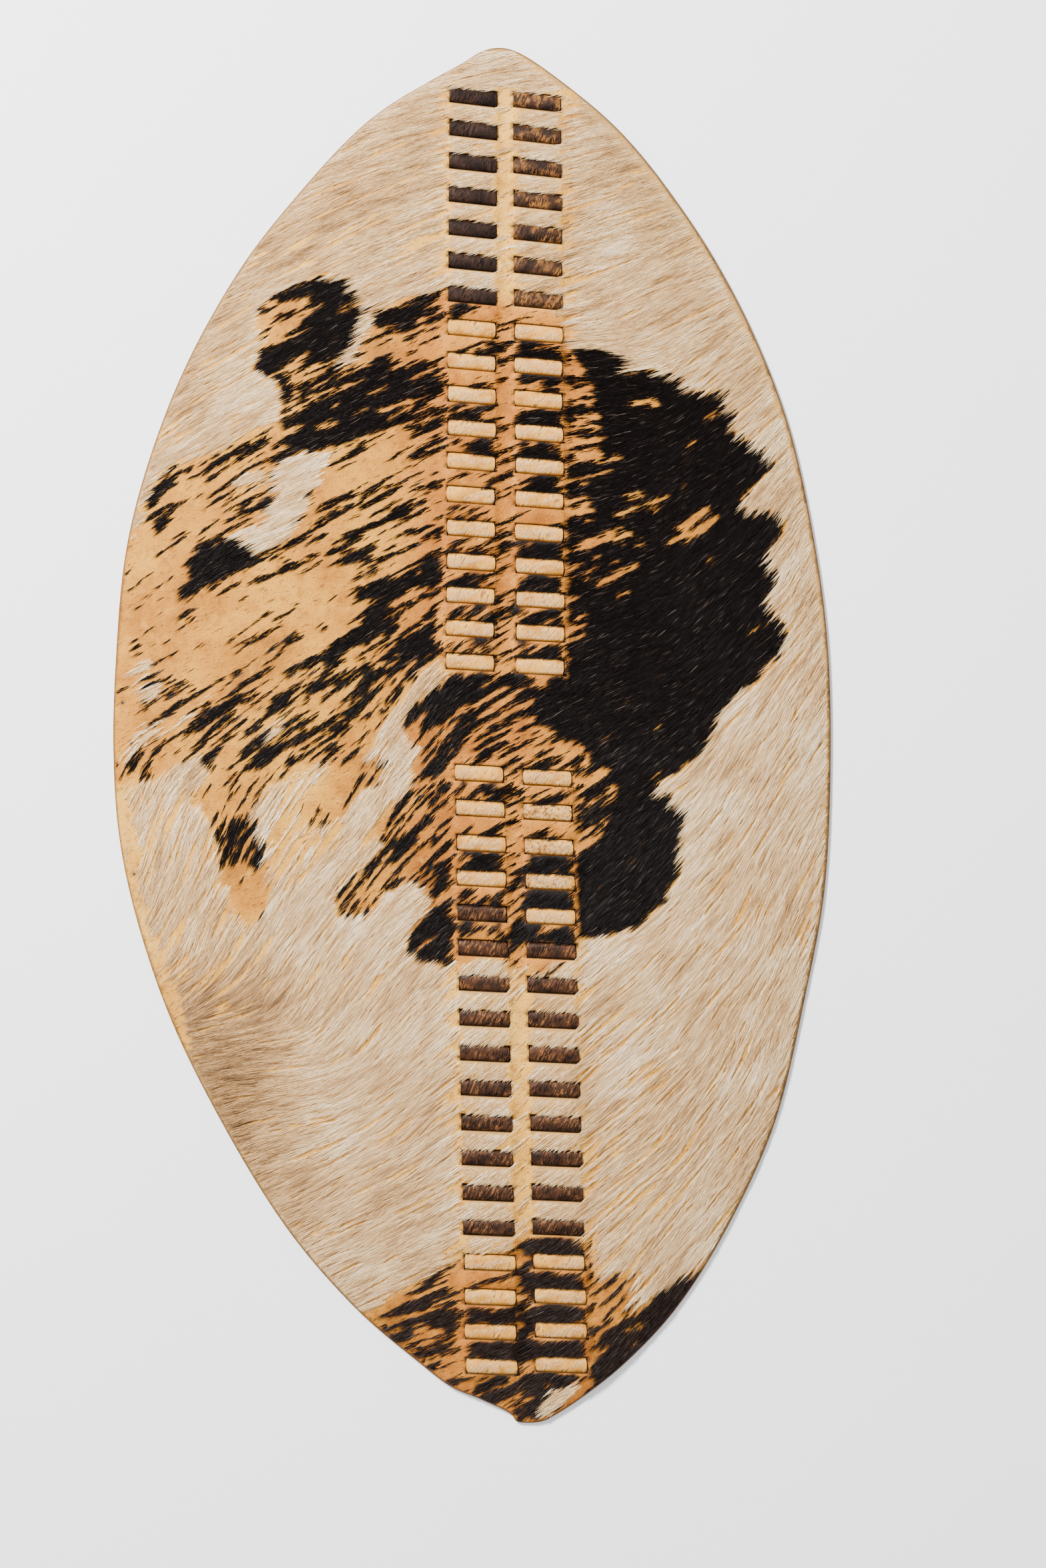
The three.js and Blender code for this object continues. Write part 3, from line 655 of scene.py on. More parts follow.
def along_hair(chart, length, steps=17):
    """A chart averaged along the hair, so that its spots become streaks of a length."""
    total = np.zeros(chart.shape)
    for offset in np.linspace(-0.5, 0.5, steps) * length:
        total += at(chart, cell_x + offset * np.cos(slope), cell_y + offset * np.sin(slope))
    return total / steps


def evened(chart):
    """A chart's values as shares of its cells that lie lower, from 0 to 1."""
    order = np.empty(chart.size)
    order[np.argsort(chart, axis=None)] = np.linspace(0, 1, chart.size)
    return order.reshape(chart.shape)


# Streaks that lie along the hair: broad ones in the worn black coat, fine ones in the pale coat,
# and the tones of single locks, whose darker ones are partly painted shade between locks. The edges
# of the markings are ragged by up to 4 mm.
broad_streaks = evened(along_hair(lattice_noise(2.5, 11), 26) + 0.6 * along_hair(
    lattice_noise(1.5, 12), 15) + 0.3 * along_hair(lattice_noise(9.0, 19), 32))
fine_streaks = evened(along_hair(lattice_noise(1.6, 13), 30, 25))
hair_streaks = evened(along_hair(lattice_noise(1.5, 14), 18))
ragged_x = cell_x + RAGGED_EDGE * (along_hair(lattice_noise(2.4, 15), 14) - 0.5)
ragged_y = cell_y + RAGGED_EDGE * (along_hair(lattice_noise(2.4, 16), 14) - 0.5)

in_dark = paint(np.zeros(cell_x.shape), [(1.0, DARK_FIELD), (1.0, DARK_FOOT)], ragged_x, ragged_y)
black_cover = blur(paint(np.zeros(cell_x.shape), BLACK_COVER, ragged_x, ragged_y), 2.2) * in_dark
pale_cover = paint(np.full(cell_x.shape, PALE_COVER), THIN_PALE) * (1 - in_dark)
pale_cover = paint(pale_cover, PALE_COVER_AREAS, ragged_x, ragged_y)

# The coat is worn thin beside the windows and more so between the two columns. Black hair is worn
# to the skin at the outer ends of the slits, and pale hair along a stretch of the left rim.
beside_windows = np.zeros(cell_x.shape, bool)
worn_black = np.zeros(cell_x.shape, bool)
between = np.zeros(cell_x.shape, bool)
in_bands = np.zeros(cell_x.shape, bool)
for column in all_columns:
    across, height = column.locate(cell_x, cell_y)
    near = np.abs(across) - column.half(height)
    in_panel = (height < column.head + 4) & (height > column.foot - 2) & (near > -1)
    beside_windows |= in_panel & (near < 2 + WINDOW_BARE_MARGIN * broad_streaks)
    in_bands |= (height < column.head) & (height > column.foot) & (near < 0)
    between |= in_panel & (across * column.side < 0) & (near < BARE_SPINE)
    worn = BARE_BESIDE_BLACK[column.side] * (0.25 + broad_streaks + 0.4 * fine_streaks)
    worn_black |= in_panel & (across * column.side > 0) & (near < worn)
pale_cover = np.where(beside_windows & (pale_cover > 0.5),
                      KEPT_BESIDE_WINDOWS * pale_cover, pale_cover)
pale_cover = np.where(between & (pale_cover > 0.2), KEPT_BETWEEN_COLUMNS, pale_cover)
from_rim = cell_x - rim(cell_y)[0]
bare_rim = from_rim < BARE_RIM * lattice_noise(14, 20) ** 0.7 + 5 * (fine_streaks - 0.5)
bare_rim &= (cell_y < from_photo(BARE_RIM_HEAD)[0, 1]) & (cell_y > from_photo(BARE_RIM_FOOT)[0, 1])
pale_cover = np.where(bare_rim & (pale_cover > 0.5), KEPT_AT_RIM, pale_cover)
pale_here = fine_streaks < blur(pale_cover, 1.2)
black_cover = np.where(worn_black, KEPT_OF_WORN_BLACK * black_cover, black_cover)
black_here = (broad_streaks < black_cover) & ~pale_here
ringed = paint(np.zeros(cell_x.shape), [(1.0, area) for _, area in PALE_COVER_AREAS])
taupe = blur(paint(np.zeros(cell_x.shape), TAUPE_AREAS), 22)
taupe = taupe + 0.4 * (lattice_noise(30, 17) - 0.5)
taupe += 0.2 * (along_hair(lattice_noise(5, 18), 18) - 0.5)

# Skin of the hide: dried rawhide, about three millimetres thick, with its edges rubbed round. It
# is pale under pale hair, orange tan under black and rosier round the columns, mottled, with pores
# and stubs of worn hair. The flesh side is scraped and plain. Small holes are left from pegging.
# Its cut edges are dark; in the slits and under the strips that dark is painted shade, and under
# dense pale hair the skin is darkened with painted shade between the locks.
POINT_SPACING = 3.6
BAND_ACROSS = 9
HIGH_BAND_ROWS = 5
LOW_BAND_ROWS = 2
BAND_EDGE = 0.6
BESIDE_SLITS = (0.5, 2.0, 4.4)
END_ROW_STEP = 2.3
GRID_OFF_BOX = 3.0
GRID_OFF_RIM = 2.6
GRID_OFF_SLITS = 5.6
GRID_OFF_PANEL_ENDS = 8.5
RIM_INSET = 0.8
SECOND_RIM_RING = 1.1
RIM_ROUNDING = 0.75
SLIT_ROUNDING = 0.45
WAVE_HEIGHT = 0.9
COLUMNS_MIDDLE = (762, 1100)
ROSY_HALF_WIDTH = 55.0
PEG_HOLE = 2.4
PEG_HOLES = [(-1, 0.047, 6.8), (-1, -0.011, 13.6), (-1, -0.202, 6.6), (1, -0.012, 8.8)]
FOOT_PEG_HOLE = (0.168, 7.3)
rng = np.random.default_rng(3)
peg_at = [(rim(h * LENGTH / 2)[0 if s < 0 else 1] - s * inset, h * LENGTH / 2)
          for s, h, inset in PEG_HOLES]
foot_hole_x = FOOT_PEG_HOLE[0] * WIDTH / 2
peg_at.append((foot_hole_x, rim_height(foot_hole_x, -1) + FOOT_PEG_HOLE[1]))

plan, plan_edges, edge_drop, cut_edge_and_slit_shade = [], [], [], []


def add_loop(points, drop, cut=1.0):
    """Adds a closed line of points that the skin is cut along."""
    start = len(plan)
    plan.extend(map(tuple, points))
    edge_drop.extend([drop] * len(points))
    cut_edge_and_slit_shade.extend([cut] * len(points))
    plan_edges.extend((start + i, start + (i + 1) % len(points)) for i in range(len(points)))


def add_points(points, cut=0.0):
    """Adds loose points, and how dark each is: a cut edge at the rim, painted shade under the strips.
    """
    plan.extend(map(tuple, points))
    edge_drop.extend([0.0] * len(points))
    cut_edge_and_slit_shade.extend(np.broadcast_to(cut, len(points)))


add_loop(outline[::-1], RIM_ROUNDING, 0.9)
tangent = np.roll(outline, -1, axis=0) - np.roll(outline, 1, axis=0)
tangent /= np.linalg.norm(tangent, axis=1, keepdims=True)
inward = np.column_stack([tangent[:, 1], -tangent[:, 0]])
add_points(outline + inward * RIM_INSET, 0.7)
add_points(outline + inward * (RIM_INSET + SECOND_RIM_RING))
painted_shade_under_strip = np.pad(np.ones(BAND_ACROSS + 2), len(BESIDE_SLITS))
turn = np.linspace(0, 2 * math.pi, 10, endpoint=False)
for x, y in peg_at:
    add_loop(np.column_stack([x + PEG_HOLE / 2 * np.cos(turn), y + PEG_HOLE / 2 * np.sin(turn)]),
             SLIT_ROUNDING, 0.3)

for column in all_columns:
    def row(height, outside=True):
        half = column.half(height)
        inner = np.linspace(SIDE_RAMP - half, half - SIDE_RAMP, BAND_ACROSS)
        across = np.concatenate([[-half], inner, [half]])
        if outside:
            beyond = np.array(BESIDE_SLITS)
            across = np.concatenate([-half - beyond[::-1], across, half + beyond])
        return np.column_stack(column.at(across, np.full(len(across), height)))

    for top in column.tops:
        bottom = top - WINDOW_HEIGHT
        for upper, lower in ((top, top - slot_gap), (bottom + slot_gap, bottom)):
            # Slit edges, and the low band under each strip, get the dark cut colour: here it is painted
            # shade in the slits and in the gaps beside the strip.
            add_loop(np.vstack([row(upper, False), row(lower, False)[::-1]]), SLIT_ROUNDING)
        for k in range(LOW_BAND_ROWS):
            share = (k + 1) / (LOW_BAND_ROWS + 1)
            add_points(row(top - slot_gap - share * (WINDOW_HEIGHT - 2 * slot_gap)), painted_shade_under_strip)
        add_points(row(top + BAND_EDGE))
        add_points(row(bottom - BAND_EDGE))
        if top > column.tops[-1]:
            for k in range(HIGH_BAND_ROWS):
                share = (k + 1) / (HIGH_BAND_ROWS + 1)
                add_points(row(bottom - share * (column.pitch - WINDOW_HEIGHT)))
    for k in (1, 2, 3):
        add_points(row(column.head + END_ROW_STEP * k))
        add_points(row(column.foot - END_ROW_STEP * k))

grid_x, grid_y = np.meshgrid(np.arange(-WIDTH / 2, WIDTH / 2, POINT_SPACING),
                             np.arange(-LENGTH / 2, LENGTH / 2, POINT_SPACING * 0.866))
grid_x = grid_x + POINT_SPACING / 2 * (np.arange(len(grid_x)) % 2)[:, None]
grid_x = np.ravel(grid_x + rng.uniform(-0.4, 0.4, grid_x.shape))
grid_y = np.ravel(grid_y + rng.uniform(-0.4, 0.4, grid_y.shape))
left, right = rim(grid_y)
free = (grid_x > left + GRID_OFF_BOX) & (grid_x < right - GRID_OFF_BOX)
free &= (grid_y < LENGTH / 2 - GRID_OFF_BOX) & (grid_y > GRID_OFF_BOX - LENGTH / 2)
free[free] = np.min(np.hypot(grid_x[free][:, None] - outline[::3, 0],
                             grid_y[free][:, None] - outline[::3, 1]), axis=1) > GRID_OFF_RIM
for column in all_columns:
    across, height = column.locate(grid_x, grid_y)
    near = np.abs(across) < column.half(height) + GRID_OFF_SLITS
    near &= height < column.head + GRID_OFF_PANEL_ENDS
    free &= ~(near & (height > column.foot - GRID_OFF_PANEL_ENDS))
for x, y in peg_at:
    free &= np.hypot(grid_x - x, grid_y - y) > PEG_HOLE
add_points(np.column_stack([grid_x[free], grid_y[free]]))

made_points, _, made_faces, from_points, _, _ = delaunay_2d_cdt(plan, plan_edges, [], 0, 1e-5)
plan_xy = np.array([tuple(p) for p in made_points])
faces = np.array([f for f in made_faces if len(f) == 3])
edge_drop = np.array([max((edge_drop[i] for i in src), default=0.0) for src in from_points])
cut_edge_and_slit_shade = np.array([max((cut_edge_and_slit_shade[i] for i in src), default=0.0) for src in from_points])
a, b, c = (plan_xy[faces[:, i]] for i in range(3))
area = (b[:, 0] - a[:, 0]) * (c[:, 1] - a[:, 1]) - (b[:, 1] - a[:, 1]) * (c[:, 0] - a[:, 0])
faces[area < 0] = faces[area < 0][:, ::-1]
centre = (a + b + c) / 3
left, right = rim(centre[:, 1])
keep = (np.abs(area) > 1e-4) & (centre[:, 0] > left) & (centre[:, 0] < right)
for column in all_columns:
    across, height = column.locate(centre[:, 0], centre[:, 1])
    below = column.below_top(height)
    slit = (below < slot_gap) | ((below > WINDOW_HEIGHT - slot_gap) & (below < WINDOW_HEIGHT))
    slit &= (np.abs(across) < column.half(height)) & (height < column.head)
    keep &= ~(slit & (height > column.foot))
for x, y in peg_at:
    keep &= np.hypot(centre[:, 0] - x, centre[:, 1] - y) > PEG_HOLE / 2
faces = faces[keep]
used, faces = np.unique(faces, return_inverse=True)
faces = faces.reshape(-1, 3)
plan_xy, edge_drop, cut_edge_and_slit_shade = plan_xy[used], edge_drop[used], cut_edge_and_slit_shade[used]

waves = lattice_noise(70, 21) + 0.5 * lattice_noise(28, 22) - 0.75


def hide_wave(x, y):
    """The hide's gentle unevenness, which dies away towards the rim."""
    return WAVE_HEIGHT * at(waves, x, y) * np.clip(crown(x, y) / 6, 0, 1)


middle = hide_middle(plan_xy[:, 0], plan_xy[:, 1]) + hide_wave(plan_xy[:, 0], plan_xy[:, 1])
front = np.column_stack([plan_xy, middle + HIDE / 2 - edge_drop])
back = np.column_stack([plan_xy, middle - HIDE / 2 + edge_drop])
back[:, 2] = np.maximum(back[:, 2], 0.0)
count = len(plan_xy)
directed = np.vstack([faces[:, [0, 1]], faces[:, [1, 2]], faces[:, [2, 0]]])
forward = directed[:, 0].astype(np.int64) * count + directed[:, 1]
backward = directed[:, 1].astype(np.int64) * count + directed[:, 0]
rim_edges = directed[~np.isin(forward, backward)]
walls = np.vstack([
    np.column_stack([rim_edges[:, 0], rim_edges[:, 0] + count, rim_edges[:, 1]]),
    np.column_stack([rim_edges[:, 1], rim_edges[:, 0] + count, rim_edges[:, 1] + count]),
])
triangles = np.vstack([faces, faces[:, ::-1] + count, walls])

# Dried rawhide: hard and nearly matte, so its mottling shows and only a weak, broad sheen does.
rawhide, tree = new_material("dried_rawhide")
place = add_node(tree, "ShaderNodeTexCoord").outputs["Object"]


def charted(tree, name):
    """The factor of a named attribute."""
    return add_node(tree, "ShaderNodeAttribute", attribute_name=name).outputs["Fac"]


def blend(tree, factor, one, two):
    """One colour over another by a factor."""
    return add_node(tree, "ShaderNodeMix", {0: factor, 6: one, 7: two}, data_type="RGBA").outputs[2]


def noise(tree, place, size, detail, roughness=0.5):
    """Noise from 0 to 1 whose spots are of about a size in metres."""
    return add_node(tree, "ShaderNodeTexNoise", {
        "Vector": place, "Scale": 1 / size, "Detail": detail, "Roughness": roughness}).outputs[0]


def stub_noise(tree, place, degrees, size, roughness):
    """Noise drawn out along the hair: its size along it, across it and in height, in metres."""
    turned = add_node(tree, "ShaderNodeMapping", {
        "Vector": place, "Rotation": (0, 0, math.radians(degrees))})
    stretched = add_node(tree, "ShaderNodeVectorMath", {
        0: turned.outputs[0], 1: [1 / side for side in size]}, operation="MULTIPLY")
    return noise(tree, stretched.outputs[0], 1.0, 3.0, roughness)


# Stains of 60 mm and mottling of 9 mm are of the real size. Pores and single stubs of hair are too
# fine for this view, so pores are drawn coarser, at 1.2 mm, and the stubs in tufts 7 mm long and
# 1.4 mm wide, which lie along the hair.
stain = noise(tree, place, 0.060, 4.0, 0.6)
mottle = noise(tree, place, 0.009, 5.0, 0.65)
pores = noise(tree, place, 0.0012, 2.0)
stubs = stub_noise(tree, place, -28, (0.007, 0.0014, 0.003), 0.6)


def ramp(tree, factor, *stops):
    """A colour ramp: each stop is a place and a colour, or a place and a grey value."""
    node = add_node(tree, "ShaderNodeValToRGB", {"Fac": factor})
    elements = node.color_ramp.elements
    while len(elements) < len(stops):
        elements.new(0.5)
    for element, (position, colour) in zip(elements, stops):
        element.position = position
        element.color = linear(colour) if isinstance(colour, str) else (colour,) * 3 + (1.0,)
    return node.outputs[0]


pale_skin = ramp(tree, stain, (0.3, "#b57b2c"), (0.5, "#cf963c"), (0.7, "#dba950"))
tan_skin = ramp(tree, stain, (0.3, "#8c5719"), (0.45, "#b0711f"), (0.62, "#c4872c"))
skin = blend(tree, charted(tree, "tan"), pale_skin, tan_skin)
rosy = add_node(tree, "ShaderNodeMix", {
    0: charted(tree, "rosy"), 6: skin, 7: linear("#efdde4")}, data_type="RGBA",
    blend_type="MULTIPLY")
skin = rosy.outputs[2]
ruddy = ramp(tree, mottle, (0.52, 0.0), (0.72, 0.6))
skin = blend(tree, ruddy, skin, linear("#7b430f"))
pore_marks = ramp(tree, pores, (0.5, 0.0), (0.72, 0.55))
skin = blend(tree, pore_marks, skin, linear("#8a5a24"))
dusty = ramp(tree, mottle, (0.3, 0.5), (0.46, 0.0))
skin = blend(tree, dusty, skin, linear("#cf9138"))
stub_marks = ramp(tree, stubs, (0.6, 0.0), (0.69, 0.8))
skin = blend(tree, stub_marks, skin, linear("#3c2413"))
# Painted shade: under dense pale hair the skin turns a dull beige-brown, for the shade between the
# locks over their roots.
skin = blend(tree, charted(tree, "pale_roots_and_gap_shade"), skin, linear("#a07a48"))
skin = blend(tree, charted(tree, "black_roots"), skin, linear("#120b08"))
# Dark cut edges: at the rim the rawhide's real darker edge, in the slits and under the strips painted
# shade.
skin = blend(tree, charted(tree, "cut"), skin, linear("#43280f"))
scraped = ramp(tree, stain, (0.3, "#a8854f"), (0.5, "#bd9a63"), (0.7, "#caab78"))
skin = blend(tree, charted(tree, "flesh"), skin, scraped)
grain = add_node(tree, "ShaderNodeMath", {0: mottle, 1: pores}, operation="ADD")
bump = add_node(tree, "ShaderNodeBump", {"Height": grain.outputs[0], "Strength": 0.6,
                                         "Distance": 0.0009})
surface = add_node(tree, "ShaderNodeBsdfPrincipled", {
    "Base Color": skin, "Roughness": 0.62, "IOR": 1.5, "Specular IOR Level": 0.12,
    "Normal": bump.outputs[0]})
add_node(tree, "ShaderNodeOutputMaterial", {"Surface": surface.outputs[0]})

hide = closed_mesh("hide_skin_panel", np.vstack([front, back]), triangles, rawhide)
hide.data.set_sharp_from_angle(angle=math.radians(50))


def chart_attribute(mesh, name, values):
    """Stores one number at each vertex for the material."""
    mesh.attributes.new(name, "FLOAT", "POINT").data.foreach_set("value", values.astype(np.float32))


both_sides = np.vstack([plan_xy, plan_xy])
# How much painted shade between pale locks darkens the skin under them.
pale_gap_shade = np.clip((at(blur(pale_here * 1.0, 2.5), *both_sides.T) - 0.55) / 0.4, 0, 1)
dense_black = np.clip((at(blur(black_here * 1.0, 2.2), *both_sides.T) - 0.5) / 0.4, 0, 1)
chart_attribute(hide.data, "tan", at(blur(in_dark, 5), *both_sides.T))
off_columns = np.abs(both_sides[:, 0] - from_photo(COLUMNS_MIDDLE)[0, 0]) - ROSY_HALF_WIDTH
rosy_share = smooth(1 - off_columns / ROSY_HALF_WIDTH)
chart_attribute(hide.data, "rosy", rosy_share * at(blur(in_dark, 5), *both_sides.T))
chart_attribute(hide.data, "pale_roots_and_gap_shade", 0.85 * pale_gap_shade)
chart_attribute(hide.data, "black_roots", dense_black)
# The cut marks carry painted shade in the slits and under the strips, and the dark edge of the rim.
chart_attribute(hide.data, "cut", np.concatenate([cut_edge_and_slit_shade, cut_edge_and_slit_shade]))
chart_attribute(hide.data, "flesh", np.concatenate([np.zeros(count), np.ones(count)]))
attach(hide, "root")
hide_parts("hide_panel")

# Hair of the coat: stiff and short, each blade a lock of a few hairs, since a single one is too
# fine to show. It is rooted in the skin and lies close along it, lock over lock like shingles. It
# is worn off round the slits, and hangs a little over the top edge of each window.
ROOT_SPACING = 1.26
HAIR_LENGTH = (11.0, 16.0)
BAND_HAIR_SHARE = 0.55
BLADE_THICKNESS_SHARE = 0.28
HAIR_ROLL = 0.18
ROOT_DEPTH = 0.15
ROOT_INSIDE_RIM = 2.0
ROOT_ABOVE_WINDOW = 0.6
ROOT_BESIDE_WINDOW = 0.8
MARKING_READ_AT = 0.35
MOST_RAISED = 1.3
BLACK_HAIR_SHARE = 0.68
HAIR_WIDTH = (0.55, 1.0)
PALE_HAIR_WIDTH_SHARE = 0.82
HAIR_TIP_LIFT = (0.6, 1.5)
WINDOW_OVERHANG = (0.6, 3.3)
WINDOW_SIDE_OVERHANG = 0.6
SHORTEST_HAIR = 2.4
HAIR_OFF_RIM = 0.9
LOCK_SPACING = 1.9
LOCK_LENGTH = 15.0
LOCK_TURN = math.radians(7)
LOCK_LIFT = 0.9
HAIR_TURN = math.radians(3)
LENGTH_STEPS = 9
PALE_TINT = 0.78
TAUPE_DARKENS = 0.55
DARK_STREAKS_AND_LOCK_SHADE = 0.35
PALE_STREAKS = 0.15
ISLANDS_PALER = 0.14
FOOT_BELOW = (700, 1840)
HEAD_PART_DOWN_TO = 200.0
PALE_PARTS_MEET_AT = 40.0
BLACK_PARTS_MEET_AT = 70.0

coat_tree = bpy.data.node_groups.new("coat_of_hair", "GeometryNodeTree")
hair_inputs = {}
for name, kind in (("Roots", "Geometry"), ("Roll", "Float"), ("Seed", "Int"),
                   ("Hair", "Material")):
    hair_inputs[name] = coat_tree.interface.new_socket(
        name=name, in_out="INPUT", socket_type="NodeSocket" + kind).identifier
coat_tree.interface.new_socket(name="Coat", in_out="OUTPUT", socket_type="NodeSocketGeometry")
given = add_node(coat_tree, "NodeGroupInput")
blade = add_node(coat_tree, "GeometryNodeMeshCone", {
    "Vertices": 3, "Radius Top": 0.0, "Radius Bottom": 1.0, "Depth": 1.0}, fill_type="NGON")
laid = add_node(coat_tree, "GeometryNodeTransform", {
    "Geometry": blade.outputs["Mesh"], "Rotation": (0.0, -math.pi / 2, 0.0)})
turning = add_node(coat_tree, "GeometryNodeInputNamedAttribute", {"Name": "turn"},
                   data_type="FLOAT_VECTOR")
scaling = add_node(coat_tree, "GeometryNodeInputNamedAttribute", {"Name": "blade"},
                   data_type="FLOAT_VECTOR")
rolled_back = add_node(coat_tree, "ShaderNodeMath", {0: given.outputs["Roll"], 1: -1.0},
                       operation="MULTIPLY")
roll = add_node(coat_tree, "FunctionNodeRandomValue", {
    2: rolled_back.outputs[0], 3: given.outputs["Roll"], "Seed": given.outputs["Seed"]},
    data_type="FLOAT")
roll_turn = add_node(coat_tree, "ShaderNodeCombineXYZ", {"X": roll.outputs[1]})
whole_turn = add_node(coat_tree, "ShaderNodeVectorMath", {
    0: turning.outputs["Attribute"], 1: roll_turn.outputs[0]}, operation="ADD")
rotation = add_node(coat_tree, "FunctionNodeEulerToRotation", {0: whole_turn.outputs[0]})
planted = add_node(coat_tree, "GeometryNodeInstanceOnPoints", {
    "Points": given.outputs["Roots"], "Instance": laid.outputs[0],
    "Rotation": rotation.outputs[0], "Scale": scaling.outputs["Attribute"]})
real = add_node(coat_tree, "GeometryNodeRealizeInstances", {0: planted.outputs[0]})
coloured = add_node(coat_tree, "GeometryNodeSetMaterial", {
    "Geometry": real.outputs[0], "Material": given.outputs["Hair"]})
add_node(coat_tree, "NodeGroupOutput", {0: coloured.outputs[0]})


def plant(name, roots, tips, width, tint, material, seed):
    """Grows blades from roots to tips, given in millimetres, and returns them as a plain mesh."""
    reach = tips - roots
    length = np.linalg.norm(reach, axis=1)
    yaw = np.arctan2(-reach[:, 1], -reach[:, 0])
    pitch = np.arcsin(reach[:, 2] / length)
    source = bpy.data.meshes.new(name + "_roots")
    source.vertices.add(len(roots))
    source.vertices.foreach_set("co", np.ravel(roots * MM))
    turn = np.column_stack([np.zeros(len(roots)), pitch, yaw])
    size = np.column_stack([length, width / math.sqrt(3), BLADE_THICKNESS_SHARE * width]) * MM
    for attribute, values in (("turn", turn), ("blade", size)):
        source.attributes.new(attribute, "FLOAT_VECTOR", "POINT").data.foreach_set(
            "vector", np.ravel(values).astype(np.float32))
    chart_attribute(source, "tint", tint)
    grower = bpy.data.objects.new(name + "_grower", source)
    bpy.context.scene.collection.objects.link(grower)
    modifier = grower.modifiers.new("coat", "NODES")
    modifier.node_group = coat_tree
    modifier[hair_inputs["Roll"]] = HAIR_ROLL
    modifier[hair_inputs["Seed"]] = seed
    modifier[hair_inputs["Hair"]] = material
    graph = bpy.context.evaluated_depsgraph_get()
    mesh = bpy.data.meshes.new_from_object(grower.evaluated_get(graph), depsgraph=graph)
    grower.modifiers.remove(modifier)
    bpy.data.objects.remove(grower)
    mesh.name = name
    grown = bpy.data.objects.new(name, mesh)
    bpy.context.scene.collection.objects.link(grown)
    corner = np.empty(len(mesh.loops), np.int32)
    mesh.loops.foreach_get("vertex_index", corner)
    spots = np.empty(3 * len(mesh.vertices), np.float32)
    mesh.vertices.foreach_get("co", spots)
    flat = spots.reshape(-1, 3)[corner, :2] / (LENGTH * MM) + 0.5
    mesh.uv_layers.new(name="OFBake").data.foreach_set("uv", np.ravel(flat))
    return grown


def hair_material(name, roughness, gloss, *stops):
    """Hair whose colour runs along a ramp by each lock's own tint."""
    material, tree = new_material(name)
    colour = ramp(tree, charted(tree, "tint"), *stops)
    hair = add_node(tree, "ShaderNodeBsdfPrincipled", {
        "Base Color": colour, "Roughness": roughness, "IOR": 1.55, "Specular IOR Level": gloss})
    add_node(tree, "ShaderNodeOutputMaterial", {"Surface": hair.outputs[0]})
    return material


# Cow hair is solid keratin: the pale is dull and creamy with taupe locks among it, and the black
# has a soft sheen, with a few grey and brown hairs in it; the grey ones are partly painted sheen.
pale_hair = hair_material("pale_cow_hair", 0.65, 0.25, (0.0, "#5c4128"), (0.3, "#997144"),
                          (0.55, "#c69d66"), (0.8, "#dbb985"), (1.0, "#ecd9b6"))
black_hair = hair_material("black_cow_hair", 0.5, 0.06, (0.0, "#090605"), (0.6, "#120c0a"),
                           (0.85, "#2c1b12"), (1.0, "#5a4f48"))


def hide_top(x, y):
    """Height of the hair side of the hide over the floor."""
    return hide_middle(x, y) + hide_wave(x, y) + HIDE / 2


rng = np.random.default_rng(31)
root_x, root_y = np.meshgrid(np.arange(-WIDTH / 2, WIDTH / 2, ROOT_SPACING),
                             np.arange(-LENGTH / 2, LENGTH / 2, ROOT_SPACING))
root_x = np.ravel(root_x + rng.uniform(-0.5, 0.5, root_x.shape) * ROOT_SPACING)
root_y = np.ravel(root_y + rng.uniform(-0.5, 0.5, root_y.shape) * ROOT_SPACING)
left, right = rim(root_y)
rooted = (root_x > left + ROOT_INSIDE_RIM) & (root_x < right - ROOT_INSIDE_RIM)
rooted &= np.abs(root_y) < LENGTH / 2 - ROOT_INSIDE_RIM
for column in all_columns:
    rooted &= ~column.in_window(root_x, root_y, ROOT_ABOVE_WINDOW, ROOT_BESIDE_WINDOW)
for x, y in peg_at:
    rooted &= np.hypot(root_x - x, root_y - y) > PEG_HOLE * 0.9
root_x, root_y = root_x[rooted], root_y[rooted]
lock_turn = evened(along_hair(lattice_noise(LOCK_SPACING, 32), LOCK_LENGTH)) - 0.5
lock_lift = evened(along_hair(lattice_noise(LOCK_SPACING, 33), LOCK_LENGTH))
angle = at(slope, root_x, root_y) + 2 * LOCK_TURN * at(lock_turn, root_x, root_y)
angle = angle + rng.normal(0, HAIR_TURN, len(root_x))
way_x, way_y = -np.cos(angle), -np.sin(angle)
length = rng.uniform(*HAIR_LENGTH, len(root_x))
read_x = root_x + MARKING_READ_AT * length * way_x
read_y = root_y + MARKING_READ_AT * length * way_y
is_pale = at(pale_here, read_x, read_y)
is_black = at(black_here, read_x, read_y)
length *= np.where(is_black, BLACK_HAIR_SHARE, 1.0)
length *= np.where(at(in_bands, root_x, root_y) & is_pale, BAND_HAIR_SHARE, 1.0)

# Each hair is cut short where it would leave the hide, reach far into a window or cross bare skin.
overhang = rng.uniform(*WINDOW_OVERHANG, len(root_x))
clear = np.ones(len(root_x), bool)
allowed = np.zeros(len(root_x))
for k in range(1, LENGTH_STEPS + 1):
    step = length * k / LENGTH_STEPS
    x, y = root_x + step * way_x, root_y + step * way_y
    left, right = rim(y)
    blocked = (x < left + HAIR_OFF_RIM) | (x > right - HAIR_OFF_RIM)
    blocked |= np.abs(y) > LENGTH / 2 - HAIR_OFF_RIM
    for column in all_columns:
        blocked |= column.in_window(x, y, -overhang, -WINDOW_SIDE_OVERHANG)
    bare = ~at(pale_here, x, y) & ~at(black_here, x, y)
    blocked |= is_pale & bare & (at(pale_cover, x, y) > 0.5)
    blocked |= is_pale & at(bare_rim, x, y) & (k > LENGTH_STEPS / 2)
    clear &= ~blocked
    allowed[clear] = k / LENGTH_STEPS
length *= allowed
grows = (is_pale | is_black) & (length > SHORTEST_HAIR)

